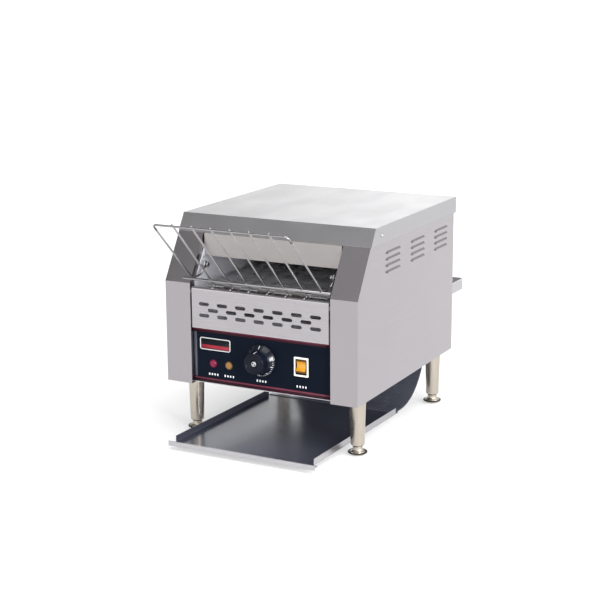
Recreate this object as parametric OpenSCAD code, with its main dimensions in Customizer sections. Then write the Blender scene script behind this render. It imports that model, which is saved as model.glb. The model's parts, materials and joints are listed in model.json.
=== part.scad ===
// Countertop conveyor toaster: bread goes on the wire rack, rides a mesh belt between quartz
// heaters, drops behind the electrics box and slides out on the tray under the body.
// Modules draw in a frame whose y = 0 is the front face of the columns and z = 0 the table;
// placed() then moves them so that the origin is at the bottom centre of the whole object.

/* [Body] */
// Width over the top cover
body_w = 368; // [350:1:400]
// Depth from the column faces to the rear edge of the cover
body_d = 420; // [416:1:450]
// Height of the top above the table
body_top = 387; // [384:1:400]
// Height of the underside of the body above the table
body_bottom = 100; // [90:1:106]
// Height where the front face starts to lean back
nose_z = 278; // [274:1:282]
// How far the leaning front face runs back
slope_run = 66.5; // [60:0.5:72]
// Thickness of the steel sheet
sheet_t = 1; // [0.8:0.1:1.2]
// Width of each front column
column_w = 50.5; // [48:0.5:56]
// Height of the band along the top of the leaning face
band_h = 29.4; // [24:0.2:32]

/* [Front panels] */
// Gap beside the slotted panel
panel_gap = 3; // [2:0.5:4]
// Height of the joint between the control panel and the slotted panel
panel_split_z = 202; // [200:1:206]
// Height of the top of the slotted panel
slotted_top = 272.4; // [270:0.2:275]
// Length of one vent slot
slot_l = 20; // [14:1:24]
// Height of one vent slot
slot_h = 6; // [4:0.5:7]
// Distance between vent slots in a row
slot_pitch = 35.5; // [32:0.5:36]
// How far the control panel is set back
control_recess = 9; // [8:0.5:9]

/* [Controls] */
// Knob axis, sideways and up
knob_x = -1; // [-10:1:10]
knob_z = 155.5; // [150:0.5:158]
// Diameter of the knob's dial skirt
knob_skirt_d = 57; // [50:1:58]
// Diameter of the knob's grip
knob_grip_d = 37; // [32:1:40]
// Rocker switch centre, sideways and up
rocker_x = 75.5; // [70:0.5:82]
rocker_z = 153.75; // [148:0.25:158]
// How far the rocker leans from its middle position
rocker_lean = 10; // [6:1:12]
// Diameter of an indicator lens
lamp_d = 13; // [8:0.5:14]

/* [Loading rack] */
// Wire diameter
wire_d = 3.5; // [3:0.1:4]
// Half distance between the side wires
rack_half_w = 123.5; // [118:0.5:126]
// Distance between the inner wires
rack_pitch = 35; // [34:0.2:36]
// Diameter of the crossbar under the wires
crossbar_d = 4.5; // [3.5:0.1:5]
// Length of the leaning frame, from its crossbar to its top bar
rack_l = 158.5; // [130:0.5:162]
// Angle of the leaning frame above the horizontal
rack_lean = 43.5; // [40:0.5:48]

/* [Belt drive] */
// Height of the belt's upper surface
belt_top = 275; // [270:1:276]
// Half width of the belt
belt_half_w = 117; // [110:1:120]
// Distance of the front shaft behind the column faces
front_shaft_y = 34; // [33:1:38]
// Distance of the rear shaft behind the column faces
rear_shaft_y = 324; // [310:1:330]
// Radius of the belt's outer surface round a shaft
belt_r = 23; // [22:0.5:23]

/* [Outlet] */
// Half width over the tray's walls
tray_half_w = 132.5; // [125:0.5:133]
// How far the tray reaches in front of the columns
tray_reach = 71; // [50:1:75]
// Upward slope of the tray towards the front, in degrees
tray_tilt = 1.3; // [0:0.1:1.5]
// Outer radius of the curved chute
chute_r = 111; // [108:1:111]

/* [Legs] */
// Half distance between the legs across the body
leg_x = 158; // [156:1:158]
// Distance of the front legs behind the column faces
leg_front_y = 54; // [40:1:70]
// Distance of the rear legs behind the column faces
leg_rear_y = 382; // [370:1:386]

/* [Hidden] */
$fn = 48;

// Air between parts that move against each other, and the radial play of a running fit
gap = 0.3;
play = 0.05;

// Body surfaces
side_x = body_w / 2 - sheet_t;
inner_x = 131.5;
opening_x = body_w / 2 - column_w;
rear_y = body_d - 8;
band_z = body_top - band_h;
slope_k = slope_run / (body_top - nose_z);
slope_off = sheet_t / cos(atan(slope_k));
base_top = body_bottom + sheet_t + 1.2;
column_flange = 11;

// Rack geometry in its side view: pivot pin, crossbar, top bar and hooks
pivot_y = 36;
pivot_z = 305;
crossbar_y = -12;
crossbar_z = 289.5;
pin_r = 2.5;
eye_r = pin_r + play + wire_d / 2;
inner_wire_d = wire_d - 0.3;
corner_l = 10;
// the frame lies on top of the crossbar, sunk into it by 1 mm at the welds
frame_off = (crossbar_d + wire_d) / 2 - 1;
frame_y = crossbar_y + frame_off * sin(rack_lean);
frame_z = crossbar_z + frame_off * cos(rack_lean);
top_y = frame_y - rack_l * cos(rack_lean);
top_z = frame_z + rack_l * sin(rack_lean);
// the inner wires cross over the top bar and stand a little past it
tip_off = 0.85 * wire_d;
tip_past = 2.5;
hook_z = slotted_top + gap + inner_wire_d / 2;
hook_y = frame_y + (frame_z - hook_z) / tan(rack_lean);

// Belt drive
shaft_z = belt_top - belt_r;
shaft_r = 5;
belt_t = 3;
belt_teeth = 20;
drive_teeth = 24;
motor_teeth = 16;
chain_pitch = 6.35;
chain_x = 150;
motor_y = 250;
motor_z = 150;
drive_pitch_r = chain_pitch / 2 / sin(180 / drive_teeth);
motor_pitch_r = chain_pitch / 2 / sin(180 / motor_teeth);
upper_heater_y = [110, 190, 270];
lower_heater_y = [110, 190, 262];
upper_heater_z = 335;
tube_r = 5;

// Electrics box
box_rear_y = 338;
fan_x = -60;
fan_y = 200;
gland_x = -158;
gland_z = 126;

// Outlet
tray_joint_y = 271;
tray_joint_z = 3.8;
chute_z = tray_joint_z + sheet_t + gap;
chute_half_w = inner_x - 0.5;
chute_bend_y = rear_y - sheet_t - chute_r;

// Rear guard and the whole object's reach, which sets the origin
guard_out = 66;
guard_top = 222;
guard_h = 20;
guard_half_w = 180;
front_reach = top_y - wire_d / 2;
rear_reach = rear_y + guard_out;
mid_y = (front_reach + rear_reach) / 2;

steel = [0.80, 0.79, 0.80];
dark_steel = [0.45, 0.45, 0.47];
bright = [0.88, 0.88, 0.90];
black = [0.08, 0.08, 0.09];
navy = [0.11, 0.13, 0.18];
ceramic = [0.90, 0.88, 0.82];
brass_tone = [0.75, 0.62, 0.35];

// ---- shared shapes ----

module placed() { translate([0, -mid_y, 0]) children(); }

// Mirrors a right-hand piece to the left when side is -1
module on_side(side) { mirror([side < 0 ? 1 : 0, 0, 0]) children(); }

// Extrudes an outline drawn in (y, z) along X, from x0 to x1
module along_x(x0, x1) {
    translate([x0, 0, 0]) rotate([90, 0, 90]) linear_extrude(x1 - x0) children();
}

// A box between two corners
module block(lo, hi) { translate(lo) cube(hi - lo); }

// Cylinders that lie along X or Y, from a to b
module rod_x(r, a, b, y, z) { translate([a, y, z]) rotate([0, 90, 0]) cylinder(r = r, h = b - a); }
module rod_y(r, a, b, x, z) { translate([x, b, z]) rotate([90, 0, 0]) cylinder(r = r, h = b - a); }

function slope_y(z) = slope_k * (z - nose_z);
function arc(c, r, a0, a1, n) =
    [for (i = [0:n]) let (a = a0 + (a1 - a0) * i / n) [c[0] + r * cos(a), c[1] + r * sin(a)]];

// Corner points of a rounded rectangle w by h about the origin
function round_rect(w, h, r) = concat(
    arc([w / 2 - r, h / 2 - r], r, 0, 90, 6), arc([r - w / 2, h / 2 - r], r, 90, 180, 6),
    arc([r - w / 2, r - h / 2], r, 180, 270, 6), arc([w / 2 - r, r - h / 2], r, 270, 360, 6));

// The taut outline round two circles, as a belt or chain lies on them
function loop_outline(c1, r1, c2, r2, n) = let (
    d = norm(c2 - c1),
    t = atan2(c2[1] - c1[1], c2[0] - c1[0]),
    f = acos((r1 - r2) / d))
    concat(arc(c1, r1, t + f, t - f + 360, n), arc(c2, r2, t - f, t + f, n));

// Outline of a toothed wheel
function wheel_outline(teeth, root_r, tip_r) = [
    for (i = [0:teeth - 1], q = [[-0.30, root_r], [-0.12, tip_r], [0.12, tip_r], [0.30, root_r]])
        let (a = (i + q[0]) * 360 / teeth) q[1] * [cos(a), sin(a)]];

// A slot with round ends, length l and height h, in the XY plane
module slot(l, h) {
    polygon(concat(arc([l / 2 - h / 2, 0], h / 2, -90, 90, 8), arc([h / 2 - l / 2, 0], h / 2, 90, 270, 8)));
}

// Points of a bent path in the XY plane: each inner point becomes an arc of radius r
function unit(v) = v / norm(v);
function bend_points(a, b, c, r) = let (
    u = unit(b - a), w = unit(c - b),
    turn = acos(u * w),
    side = sign(u[0] * w[1] - u[1] * w[0]),
    start = b - u * r * tan(turn / 2),
    centre = start + side * r * [-u[1], u[0]],
    heading = atan2(start[1] - centre[1], start[0] - centre[0]))
    arc(centre, r, heading, heading + side * turn, turn > 60 ? 4 : 2);
function path_points(pts, r) = concat([pts[0]],
    [for (i = [1:1:len(pts) - 2], p = bend_points(pts[i - 1], pts[i], pts[i + 1], r)) p], [pts[len(pts) - 1]]);

// A bent wire through points of the XY plane, as a mitred tube with ten sides
module bent_wire(pts, d, r) {
    path = path_points(pts, r);
    last = len(path) - 1;
    sides = 10;
    function ahead(i) = unit(path[min(i + 1, last)] - path[min(i, last - 1)]);
    function behind(i) = unit(path[max(i, 1)] - path[max(i - 1, 0)]);
    function mitre(i) = let (u = unit(ahead(i) + behind(i))) [-u[1], u[0]] / (u * ahead(i));
    rings = [for (i = [0:last], k = [0:sides - 1])
        let (a = (k + 0.5) * 360 / sides, m = mitre(i) * cos(a) * d / 2)
        [path[i][0] + m[0], path[i][1] + m[1], sin(a) * d / 2]];
    tube = [for (i = [0:last - 1], k = [0:sides - 1]) let (n = (k + 1) % sides)
        [i * sides + k, (i + 1) * sides + k, (i + 1) * sides + n, i * sides + n]];
    ends = [[for (k = [0:sides - 1]) k], [for (k = [sides - 1:-1:0]) last * sides + k]];
    polyhedron(rings, concat(tube, ends), convexity = 4);
}

// ---- casing ----

// One raised vent hood with its slit below, on the outer face of a side panel
louvre_l = 52;
module louvre_hood(y, z) {
    shape = [[side_x - 0.5, z + 5], [side_x + 2.5, z + 1], [side_x + 2.5, z - 1]];
    translate([0, y + louvre_l / 2, 0]) rotate([90, 0, 0]) linear_extrude(louvre_l)
        polygon(concat(shape, [[side_x + 1.7, z - 1], [side_x + 1.7, z + 0.6], [side_x - 0.5, z + 3.8]]));
    for (e = [y - louvre_l / 2, y + louvre_l / 2 - 0.8])
        translate([0, e + 0.8, 0]) rotate([90, 0, 0]) linear_extrude(0.8)
            polygon(concat(shape, [[side_x - 0.5, z - 1]]));
}

louvre_y = [139, 244.75, 350.5];
louvre_z = [337, 326, 315, 304];
cover_screw_y = 91;
cover_screw_z = 372;

// Right-hand side sheet with its front column, leaning column face and fixing flanges
module side_panel() {
    zt = body_top - sheet_t;
    difference() {
        along_x(side_x - sheet_t, side_x) polygon([
            [0, body_bottom], [0, nose_z], [slope_y(band_z), band_z],
            [slope_y(band_z) + slope_off, band_z], [slope_y(zt) + slope_off, zt],
            [rear_y, zt], [rear_y, body_bottom]]);
        for (y = louvre_y, z = louvre_z)
            block([side_x - 2, y - louvre_l / 2 + 0.8, z - 1], [side_x + 1, y + louvre_l / 2 - 0.8, z + 3]);
        rod_x(2, side_x - 5, side_x + 5, cover_screw_y, cover_screw_z);
    }
    for (y = louvre_y, z = louvre_z) louvre_hood(y, z);
    // column face, vertical and then leaning
    inner_nose = nose_z + (sheet_t - slope_off) / slope_k;
    along_x(opening_x, side_x - sheet_t) polygon([
        [0, body_bottom], [0, nose_z], [slope_y(band_z), band_z],
        [slope_y(band_z) + slope_off, band_z], [sheet_t, inner_nose], [sheet_t, body_bottom]]);
    // return flange round the opening
    along_x(opening_x, opening_x + sheet_t) polygon([
        [sheet_t / 2, body_bottom], [sheet_t / 2, nose_z], [slope_y(band_z) + sheet_t / 2, band_z],
        [slope_y(band_z) + column_flange, band_z], [column_flange, nose_z - 4], [column_flange, body_bottom]]);
    // bottom and rear flanges
    block([side_x - sheet_t - 8, sheet_t, body_bottom], [side_x - sheet_t, rear_y, body_bottom + sheet_t]);
    difference() {
        block([side_x - sheet_t - 14, rear_y - 2 * sheet_t, body_bottom + sheet_t],
              [side_x - sheet_t, rear_y - sheet_t, body_top - 2 * sheet_t]);
        for (z = rear_screw_z) rod_y(1.6, rear_y - 5, rear_y + 5, rear_screw_x, z);
    }
}

rear_screw_x = side_x - 8;
rear_screw_z = [125, 245, 365];

module side_panel_left() { color(steel) placed() on_side(-1) side_panel(); }
module side_panel_right() { color(steel) placed() side_panel(); }

// Right-hand inner wall, which carries the shafts, the heaters and the rack
module inner_wall(drive_side) {
    back = 13;
    difference() {
        along_x(inner_x, inner_x + sheet_t) polygon([
            [back, base_top], [back, nose_z], [slope_y(382) + back, 382],
            [rear_y - 4, 382], [rear_y - 4, base_top]]);
        for (y = [front_shaft_y, rear_shaft_y])
            rod_x(8 + play, inner_x - 2, inner_x + 3, y, shaft_z);
        for (y = upper_heater_y) rod_x(tube_r + 1.5, inner_x - 2, inner_x + 3, y, upper_heater_z);
        for (y = lower_heater_y) rod_x(tube_r + 1.5, inner_x - 2, inner_x + 3, y, shaft_z);
        rod_x(pin_r + play, inner_x - 2, inner_x + 3, pivot_y, pivot_z);
        rod_x(2, inner_x - 2, inner_x + 3, 45, 316);
        if (drive_side) rod_x(10, inner_x - 2, inner_x + 3, motor_y, motor_z);
        else rod_x(7, inner_x - 2, inner_x + 3, 300, gland_z);
    }
}

module inner_wall_left() { color(dark_steel) placed() on_side(-1) inner_wall(false); }
module inner_wall_right() { color(dark_steel) placed() inner_wall(true); }

// Floor plate of the body; its rear cut-out lets the toast fall through
module base_plate() {
    color(steel) placed() difference() {
        block([sheet_t - side_x + 0.2, sheet_t + 0.2, body_bottom + sheet_t],
              [side_x - sheet_t - 0.2, rear_y - 2 * sheet_t, base_top]);
        block([-inner_x, box_rear_y + 4, 90], [inner_x, rear_y + 1, 120]);
        block([-opening_x - sheet_t - 0.2, 0, 90], [opening_x + sheet_t + 0.2, column_flange + 0.2, 120]);
        for (x = [-leg_x, leg_x], y = [leg_front_y, leg_rear_y]) translate([x, y, 90]) cylinder(r = 4.3, h = 30);
        for (i = [-3:3]) translate([fan_x, fan_y + i * 10, 90]) linear_extrude(30) slot(62 - abs(i) * 8, 5);
        for (i = [0:5]) translate([70, 60 + i * 12, 90]) linear_extrude(30) slot(60, 5);
    }
}

rear_vent_z = [160, 172, 184];
module rear_panel() {
    color(steel) placed() difference() {
        block([sheet_t - side_x, rear_y - sheet_t, body_bottom + sheet_t],
              [side_x - sheet_t, rear_y, body_top - sheet_t]);
        rod_y(6 + play, rear_y - 5, rear_y + 5, gland_x, gland_z);
        for (s = [-1, 1], z = rear_screw_z) rod_y(1.6, rear_y - 5, rear_y + 5, s * rear_screw_x, z);
        for (i = [-3:3], z = [300, 312, 324, 336])
            translate([i * 34, rear_y + 5, z]) rotate([90, 0, 0]) linear_extrude(10) slot(26, 5);
    }
}

// Top sheet with the leaning band at the front, side flanges and a rear lip
module top_cover() {
    lip = 9;
    ret = 12;
    color(bright) placed() {
        along_x(sheet_t - body_w / 2, body_w / 2 - sheet_t) polygon([
            [body_d, body_top - lip], [body_d, body_top], [slope_run, body_top],
            [slope_y(band_z), band_z], [slope_y(band_z) + slope_off, band_z],
            [slope_y(body_top - sheet_t) + slope_off, body_top - sheet_t],
            [body_d - sheet_t, body_top - sheet_t], [body_d - sheet_t, body_top - lip]]);
        // return along the bottom of the band, between the side sheets
        block([sheet_t - side_x + 0.2, slope_y(band_z) + sheet_t / 2, band_z],
              [side_x - sheet_t - 0.2, slope_y(band_z) + ret, band_z + sheet_t]);
        for (s = [-1, 1]) on_side(s) difference() {
            along_x(body_w / 2 - sheet_t, body_w / 2) polygon([
                [slope_y(band_z), band_z], [slope_run, body_top], [body_d, body_top], [body_d, band_z]]);
            rod_x(2, side_x - 5, side_x + 5, cover_screw_y, cover_screw_z);
        }
    }
}

// Cross channel behind the band, between the inner walls
module front_header() {
    y0 = slope_run + 4;
    color(steel) placed() difference() {
        block([-inner_x, y0, 363], [inner_x, y0 + 20, body_top - sheet_t]);
        block([-inner_x - 1, y0 + sheet_t, 363 + sheet_t], [inner_x + 1, y0 + 21, body_top - 2 * sheet_t]);
    }
}

// ---- front panels ----

slotted_half_w = opening_x - panel_gap;
slot_row_z = [244, 234, 224];
module slotted_panel() {
    bend = 4;
    depth = 9;
    color(steel) placed() difference() {
        along_x(-slotted_half_w, slotted_half_w) polygon(concat(
            [[0, panel_split_z]],
            arc([bend, slotted_top - bend], bend, 180, 90, 6),
            [[depth, slotted_top], [depth, slotted_top - sheet_t]],
            arc([bend, slotted_top - bend], bend - sheet_t, 90, 180, 6),
            [[sheet_t, panel_split_z]]));
        for (row = [0:2]) {
            count = row == 1 ? 6 : 7;
            for (i = [0:count - 1]) translate([(i - (count - 1) / 2) * slot_pitch, 3, slot_row_z[row]])
                rotate([90, 0, 0]) linear_extrude(6) slot(slot_l, slot_h);
        }
    }
}

control_bottom = body_bottom + 3.5;
control_half_w = opening_x - 0.2;
lamp_x = [-95, -64];
lamp_z = 138.5;
lamp_neck_r = 4;

// Holes through the control panel and its overlay
module control_holes() {
    rod_y(4, -5, 30, knob_x, knob_z);
    for (x = lamp_x) rod_y(lamp_neck_r + play, -5, 30, x, lamp_z);
    block([rocker_x - 11.6, -5, rocker_z - 14.6], [rocker_x + 11.6, 30, rocker_z + 14.6]);
}

module control_panel() {
    color(steel) placed() difference() {
        union() {
            block([-control_half_w, control_recess, control_bottom],
                  [control_half_w, control_recess + sheet_t, panel_split_z]);
            block([0.2 - inner_x, control_recess + sheet_t, control_bottom],
                  [inner_x - 0.2, control_recess + 12, control_bottom + sheet_t]);
            // the top edge is turned forward to meet the slotted panel
            block([-slotted_half_w, 0, panel_split_z - sheet_t],
                  [slotted_half_w, control_recess, panel_split_z]);
        }
        control_holes();
    }
}

overlay_t = 0.4;
module panel_overlay() {
    color(navy) placed() difference() {
        block([-control_half_w, control_recess - overlay_t, control_bottom],
              [control_half_w, control_recess, panel_split_z - sheet_t]);
        control_holes();
    }
}

// Plain name plate, 60.5 by 22
module badge_plate() {
    color(bright) placed() translate([-90.75, control_recess - overlay_t, 172.5]) rotate([90, 0, 0])
        linear_extrude(0.8) polygon(round_rect(60.5, 22, 4));
}

module lamp(x) {
    face = control_recess - overlay_t;
    dome_h = 2.3;
    dome_w = lamp_d / 2 - 0.1;
    dome_r = (dome_w * dome_w + dome_h * dome_h) / (2 * dome_h);
    translate([x, face, lamp_z]) rotate([-90, 0, 0]) rotate_extrude() polygon(concat(
        [[0, 26], [0, -3.2]], arc([0, dome_r - 3.2], dome_r, -90, asin(dome_w / dome_r) - 90, 6),
        [[lamp_d / 2, -0.9], [lamp_d / 2 + 1, 0], [lamp_neck_r, 0], [lamp_neck_r, 26]]));
}
module red_lamp() { color([0.75, 0.12, 0.22]) placed() lamp(lamp_x[0]); }
module amber_lamp() { color([0.85, 0.55, 0.20]) placed() lamp(lamp_x[1]); }

// ---- speed control ----

control_shaft_r = 3;
// Profile of a piece turned about the knob axis: [radius, y]
module turned(profile) {
    translate([knob_x, 0, knob_z]) rotate([-90, 0, 0]) rotate_extrude() polygon(profile);
}

panel_back_y = control_recess + sheet_t;
module speed_control() {
    r = control_shaft_r + play;
    color(dark_steel) placed() {
        turned([[r, control_recess - 0.8], [3.9, control_recess - 0.8], [3.9, panel_back_y],
                [14, panel_back_y], [14, panel_back_y + 12], [r, panel_back_y + 12]]);
        turned([[4, control_recess - 1.8], [6.5, control_recess - 1.8], [6.5, control_recess - 0.5], [4, control_recess - 0.5]]);
        block([knob_x - 22, panel_back_y + 12.3, knob_z - 20], [knob_x + 22, panel_back_y + 26, knob_z + 20]);
    }
}

module control_shaft() {
    color(bright) placed() rod_y(control_shaft_r, knob_front_y + 5, panel_back_y + 12, knob_x, knob_z);
}

knob_front_y = -18;
module speed_knob() {
    skirt_r = knob_skirt_d / 2;
    grip_r = knob_grip_d / 2;
    color(black) placed() turned([
        [control_shaft_r, knob_front_y + 3], [6.2, knob_front_y + 3], [6.2, knob_front_y + 1],
        [grip_r - 2.5, knob_front_y + 0.6], [grip_r - 1.4, knob_front_y], [grip_r - 0.4, knob_front_y + 0.6],
        [grip_r, knob_front_y + 2], [grip_r + 1, -3], [grip_r + 3, -1], [skirt_r - 1.5, 4.5],
        [skirt_r, 5.7], [skirt_r, 7.4], [skirt_r - 2, 7.4], [grip_r, 3.5], [8, 3.5], [8, 6.4], [control_shaft_r, 6.4]]);
}

module knob_cap() {
    color(bright) placed() turned([
        [0, knob_front_y + 2.9], [0, knob_front_y], [5.2, knob_front_y],
        [6, knob_front_y + 0.8], [6, knob_front_y + 2.9]]);
}

// ---- power switch ----

rocker_pivot_y = 14;
rocker_end_r = 12.4;
rocker_half_w = 9.6;
module rocker_housing() {
    face = control_recess - overlay_t;
    color([0.92, 0.92, 0.90]) placed() difference() {
        union() {
            translate([rocker_x, face, rocker_z]) rotate([90, 0, 0]) linear_extrude(2) polygon(round_rect(27, 33.5, 1.5));
            block([rocker_x - 11.4, face, rocker_z - 14.4], [rocker_x + 11.4, 36, rocker_z + 14.4]);
            for (z = [-9, 0, 9]) block([rocker_x - 3, 35, rocker_z + z - 0.4], [rocker_x + 3, 44, rocker_z + z + 0.4]);
        }
        block([rocker_x - rocker_half_w - 0.4, 0, rocker_z - 12.9], [rocker_x + rocker_half_w + 0.4, 30, rocker_z + 12.9]);
        rod_x(1.5 + play, rocker_x - 11, rocker_x + 11, rocker_pivot_y, rocker_z);
    }
}

module power_rocker() {
    front = atan2(8.5, 9);
    color([0.95, 0.68, 0.15]) placed() translate([0, rocker_pivot_y, rocker_z]) rotate([-rocker_lean, 0, 0]) {
        along_x(rocker_x - rocker_half_w, rocker_x + rocker_half_w) polygon(concat(
            [[-5, 0]], arc([0, 0], rocker_end_r, 180 - front, 65, 14),
            arc([0, 0], rocker_end_r, -65, front - 180, 14)));
        rod_x(1.5, rocker_x - 10.8, rocker_x + 10.8, 0, 0);
    }
}

// ---- loading rack ----

// Draws a bent wire of the side view at x
module side_view_wire(x, pts, d, r) { translate([x, 0, 0]) rotate([90, 0, 90]) bent_wire(pts, d, r); }

module loading_rack() {
    drop_y = corner_l * cos(rack_lean);
    drop_z = corner_l * sin(rack_lean);
    tip_y = top_y + tip_off * sin(rack_lean) - tip_past * cos(rack_lean);
    tip_z = top_z + tip_off * cos(rack_lean) + tip_past * sin(rack_lean);
    color(bright) placed() {
        // side wires, which run on as arms to the eyes on the pivot pins
        for (s = [-1, 1]) {
            side_view_wire(s * rack_half_w, [
                [top_y + drop_y - 0.1, top_z - drop_z + 0.1], [frame_y + 3, frame_z - 3], [20, 291],
                [pivot_y - 3, pivot_z - eye_r + 0.6]], wire_d, 10);
            along_x(s * rack_half_w - wire_d / 2, s * rack_half_w + wire_d / 2) translate([pivot_y, pivot_z])
                difference() { circle(r = eye_r + wire_d / 2); circle(r = eye_r - wire_d / 2); }
        }
        // top bar with its two rounded corners, in the leaning plane of the frame
        translate([0, top_y, top_z]) rotate([180 - rack_lean, 0, 0]) bent_wire([
            [-rack_half_w, -corner_l], [-rack_half_w, 0], [rack_half_w, 0], [rack_half_w, -corner_l]], wire_d, 7);
        rod_x(crossbar_d / 2, -rack_half_w - 16, rack_half_w + 16, crossbar_y, crossbar_z, $fn = 24);
        // six inner wires, whose hooks rest on the slotted panel
        for (i = [-2.5:1:2.5]) side_view_wire(i * rack_pitch, [
            [tip_y, tip_z], [hook_y, hook_z], [hook_y - 12, hook_z]], inner_wire_d, 2.2);
    }
}

module rack_pins() {
    color(bright) placed() for (s = [-1, 1]) on_side(s) {
        rod_x(pin_r, 119.5, inner_x + 5, pivot_y, pivot_z);
        rod_x(4.4, 117.5, 119.6, pivot_y, pivot_z);
        difference() {
            rod_x(5, inner_x + sheet_t, inner_x + 4.2, pivot_y, pivot_z, $fn = 6);
            rod_x(pin_r - 0.5, inner_x, inner_x + 6, pivot_y, pivot_z);
        }
    }
}

// ---- toasting chamber ----

deflector_y = 47;
module deflector() {
    color(ceramic) placed() along_x(-inner_x, inner_x) polygon([
        [deflector_y, 318], [deflector_y, band_z - 0.1], [deflector_y + 13, band_z - 0.1],
        [deflector_y + 13, band_z - 1.1], [deflector_y + sheet_t, band_z - 1.1],
        [deflector_y + sheet_t, 318 + sheet_t], [deflector_y + 8, 318 + sheet_t], [deflector_y + 8, 318]]);
}

module upper_reflector() {
    z = upper_heater_z + 18;
    color(bright) placed() along_x(-inner_x, inner_x) polygon([
        [66, z - 12], [66, z], [330, z], [330, z - 30], [329, z - 30], [329, z - sheet_t], [67, z - sheet_t], [67, z - 12]]);
}

module lower_reflector() {
    z = shaft_z - 15;
    color(bright) placed() along_x(-inner_x, inner_x) polygon([
        [86, z + 6], [92, z], [282, z], [288, z + 6], [287, z + 7], [281.6, z + sheet_t], [92.4, z + sheet_t], [87, z + 7]]);
}

module heater_tubes(ys, z) { for (y = ys) rod_x(tube_r, -inner_x - 14, inner_x + 14, y, z); }
module upper_heaters() { color([0.9, 0.85, 0.8]) placed() heater_tubes(upper_heater_y, upper_heater_z); }
module lower_heaters() { color([0.9, 0.85, 0.8]) placed() heater_tubes(lower_heater_y, shaft_z); }

module heater_cap(y, z) {
    difference() {
        union() {
            rod_x(8.5, inner_x + sheet_t, inner_x + 18, y, z);
            rod_x(2, inner_x + 17, inner_x + 25, y, z);
        }
        rod_x(tube_r + play, inner_x, inner_x + 14 + play, y, z);
    }
}
module heater_caps() {
    color(ceramic) placed() for (s = [-1, 1]) on_side(s) {
        for (y = upper_heater_y) heater_cap(y, upper_heater_z);
        for (y = lower_heater_y) heater_cap(y, shaft_z);
    }
}

// ---- belt and drive ----

module mesh_belt() {
    f = [front_shaft_y, shaft_z];
    r = [rear_shaft_y, shaft_z];
    color(dark_steel) placed() difference() {
        along_x(-belt_half_w, belt_half_w) polygon(loop_outline(f, belt_r, r, belt_r, 16));
        along_x(-belt_half_w - 1, belt_half_w + 1) polygon(loop_outline(f, belt_r - belt_t, r, belt_r - belt_t, 16));
    }
}

module front_shaft() { color(bright) placed() rod_x(shaft_r, -inner_x - 8, inner_x + 8, front_shaft_y, shaft_z); }
module rear_shaft() { color(bright) placed() rod_x(shaft_r, -inner_x - 8, chain_x + 8, rear_shaft_y, shaft_z); }

// Four toothed wheels that carry the belt, each with a hub, on one shaft
module belt_sprockets(y) {
    tip_r = belt_r - belt_t - 0.5;
    for (x = [-99, -33, 33, 99]) translate([0, y, shaft_z]) {
        along_x(x - 2, x + 2) difference() {
            polygon(wheel_outline(belt_teeth, tip_r - 3, tip_r));
            circle(r = shaft_r);
        }
        along_x(x + 2, x + 9) difference() { circle(r = 9); circle(r = shaft_r); }
    }
}
module front_sprockets() { color(dark_steel) placed() belt_sprockets(front_shaft_y); }
module rear_sprockets() { color(dark_steel) placed() belt_sprockets(rear_shaft_y); }

module shaft_bushes() {
    color(brass_tone) placed() for (s = [-1, 1], y = [front_shaft_y, rear_shaft_y]) on_side(s) difference() {
        union() {
            rod_x(8, inner_x - 4, inner_x + 5, y, shaft_z);
            rod_x(11, inner_x - 4, inner_x, y, shaft_z);
        }
        rod_x(shaft_r + play, inner_x - 6, inner_x + 8, y, shaft_z);
    }
}

module chain_wheel(teeth, pitch_r, bore_r) {
    along_x(chain_x - 1.5, chain_x + 1.5) difference() {
        polygon(wheel_outline(teeth, pitch_r - 1.8, pitch_r + 1.6));
        circle(r = bore_r);
    }
    along_x(chain_x + 1.5, chain_x + 7) difference() { circle(r = 9); circle(r = bore_r); }
}
module drive_sprocket() {
    color(dark_steel) placed() translate([0, rear_shaft_y, shaft_z]) chain_wheel(drive_teeth, drive_pitch_r, shaft_r);
}
motor_shaft_r = 4;
module motor_sprocket() {
    color(dark_steel) placed() translate([0, motor_y, motor_z]) chain_wheel(motor_teeth, motor_pitch_r, motor_shaft_r);
}

// Chain as its two rows of link plates, with pins along the free runs
module drive_chain() {
    m = [motor_y, motor_z];
    d = [rear_shaft_y, shaft_z];
    half = 2.6;
    span = norm(d - m);
    lean = atan2(d[1] - m[1], d[0] - m[0]);
    flare = acos((motor_pitch_r - drive_pitch_r) / span);
    color(dark_steel) placed() {
        for (x = [chain_x - 4, chain_x + 2.8]) difference() {
            along_x(x, x + 1.2) polygon(loop_outline(m, motor_pitch_r + half, d, drive_pitch_r + half, 18));
            along_x(x - 1, x + 3) polygon(loop_outline(m, motor_pitch_r - half, d, drive_pitch_r - half, 18));
        }
        for (s = [-1, 1]) {
            out = [cos(lean + s * flare), sin(lean + s * flare)];
            a = m + out * motor_pitch_r;
            b = d + out * drive_pitch_r;
            count = floor(norm(b - a) / chain_pitch) - 3;
            for (i = [0:count]) let (p = a + (b - a) / norm(b - a) * chain_pitch * (i + 1.7))
                rod_x(1.65, chain_x - 3.4, chain_x + 3.4, p[0], p[1], $fn = 16);
        }
    }
}

module motor_shaft() { color(bright) placed() rod_x(motor_shaft_r, 106, chain_x + 8, motor_y, motor_z); }

module motor_gearbox() {
    color(steel) placed() difference() {
        union() {
            block([100, motor_y - 30, motor_z - 26], [inner_x - 0.1, motor_y + 30, motor_z + 26]);
            rod_x(9, inner_x - 0.2, inner_x + 6, motor_y, motor_z);
        }
        rod_x(motor_shaft_r + play, 105, inner_x + 8, motor_y, motor_z);
    }
}

module drive_motor() {
    color(dark_steel) placed() {
        rod_x(24, 42, 99.9, motor_y, motor_z);
        block([55, motor_y - 27, motor_z - 27], [85, motor_y + 27, motor_z + 27]);
    }
}

// ---- electrics ----

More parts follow.
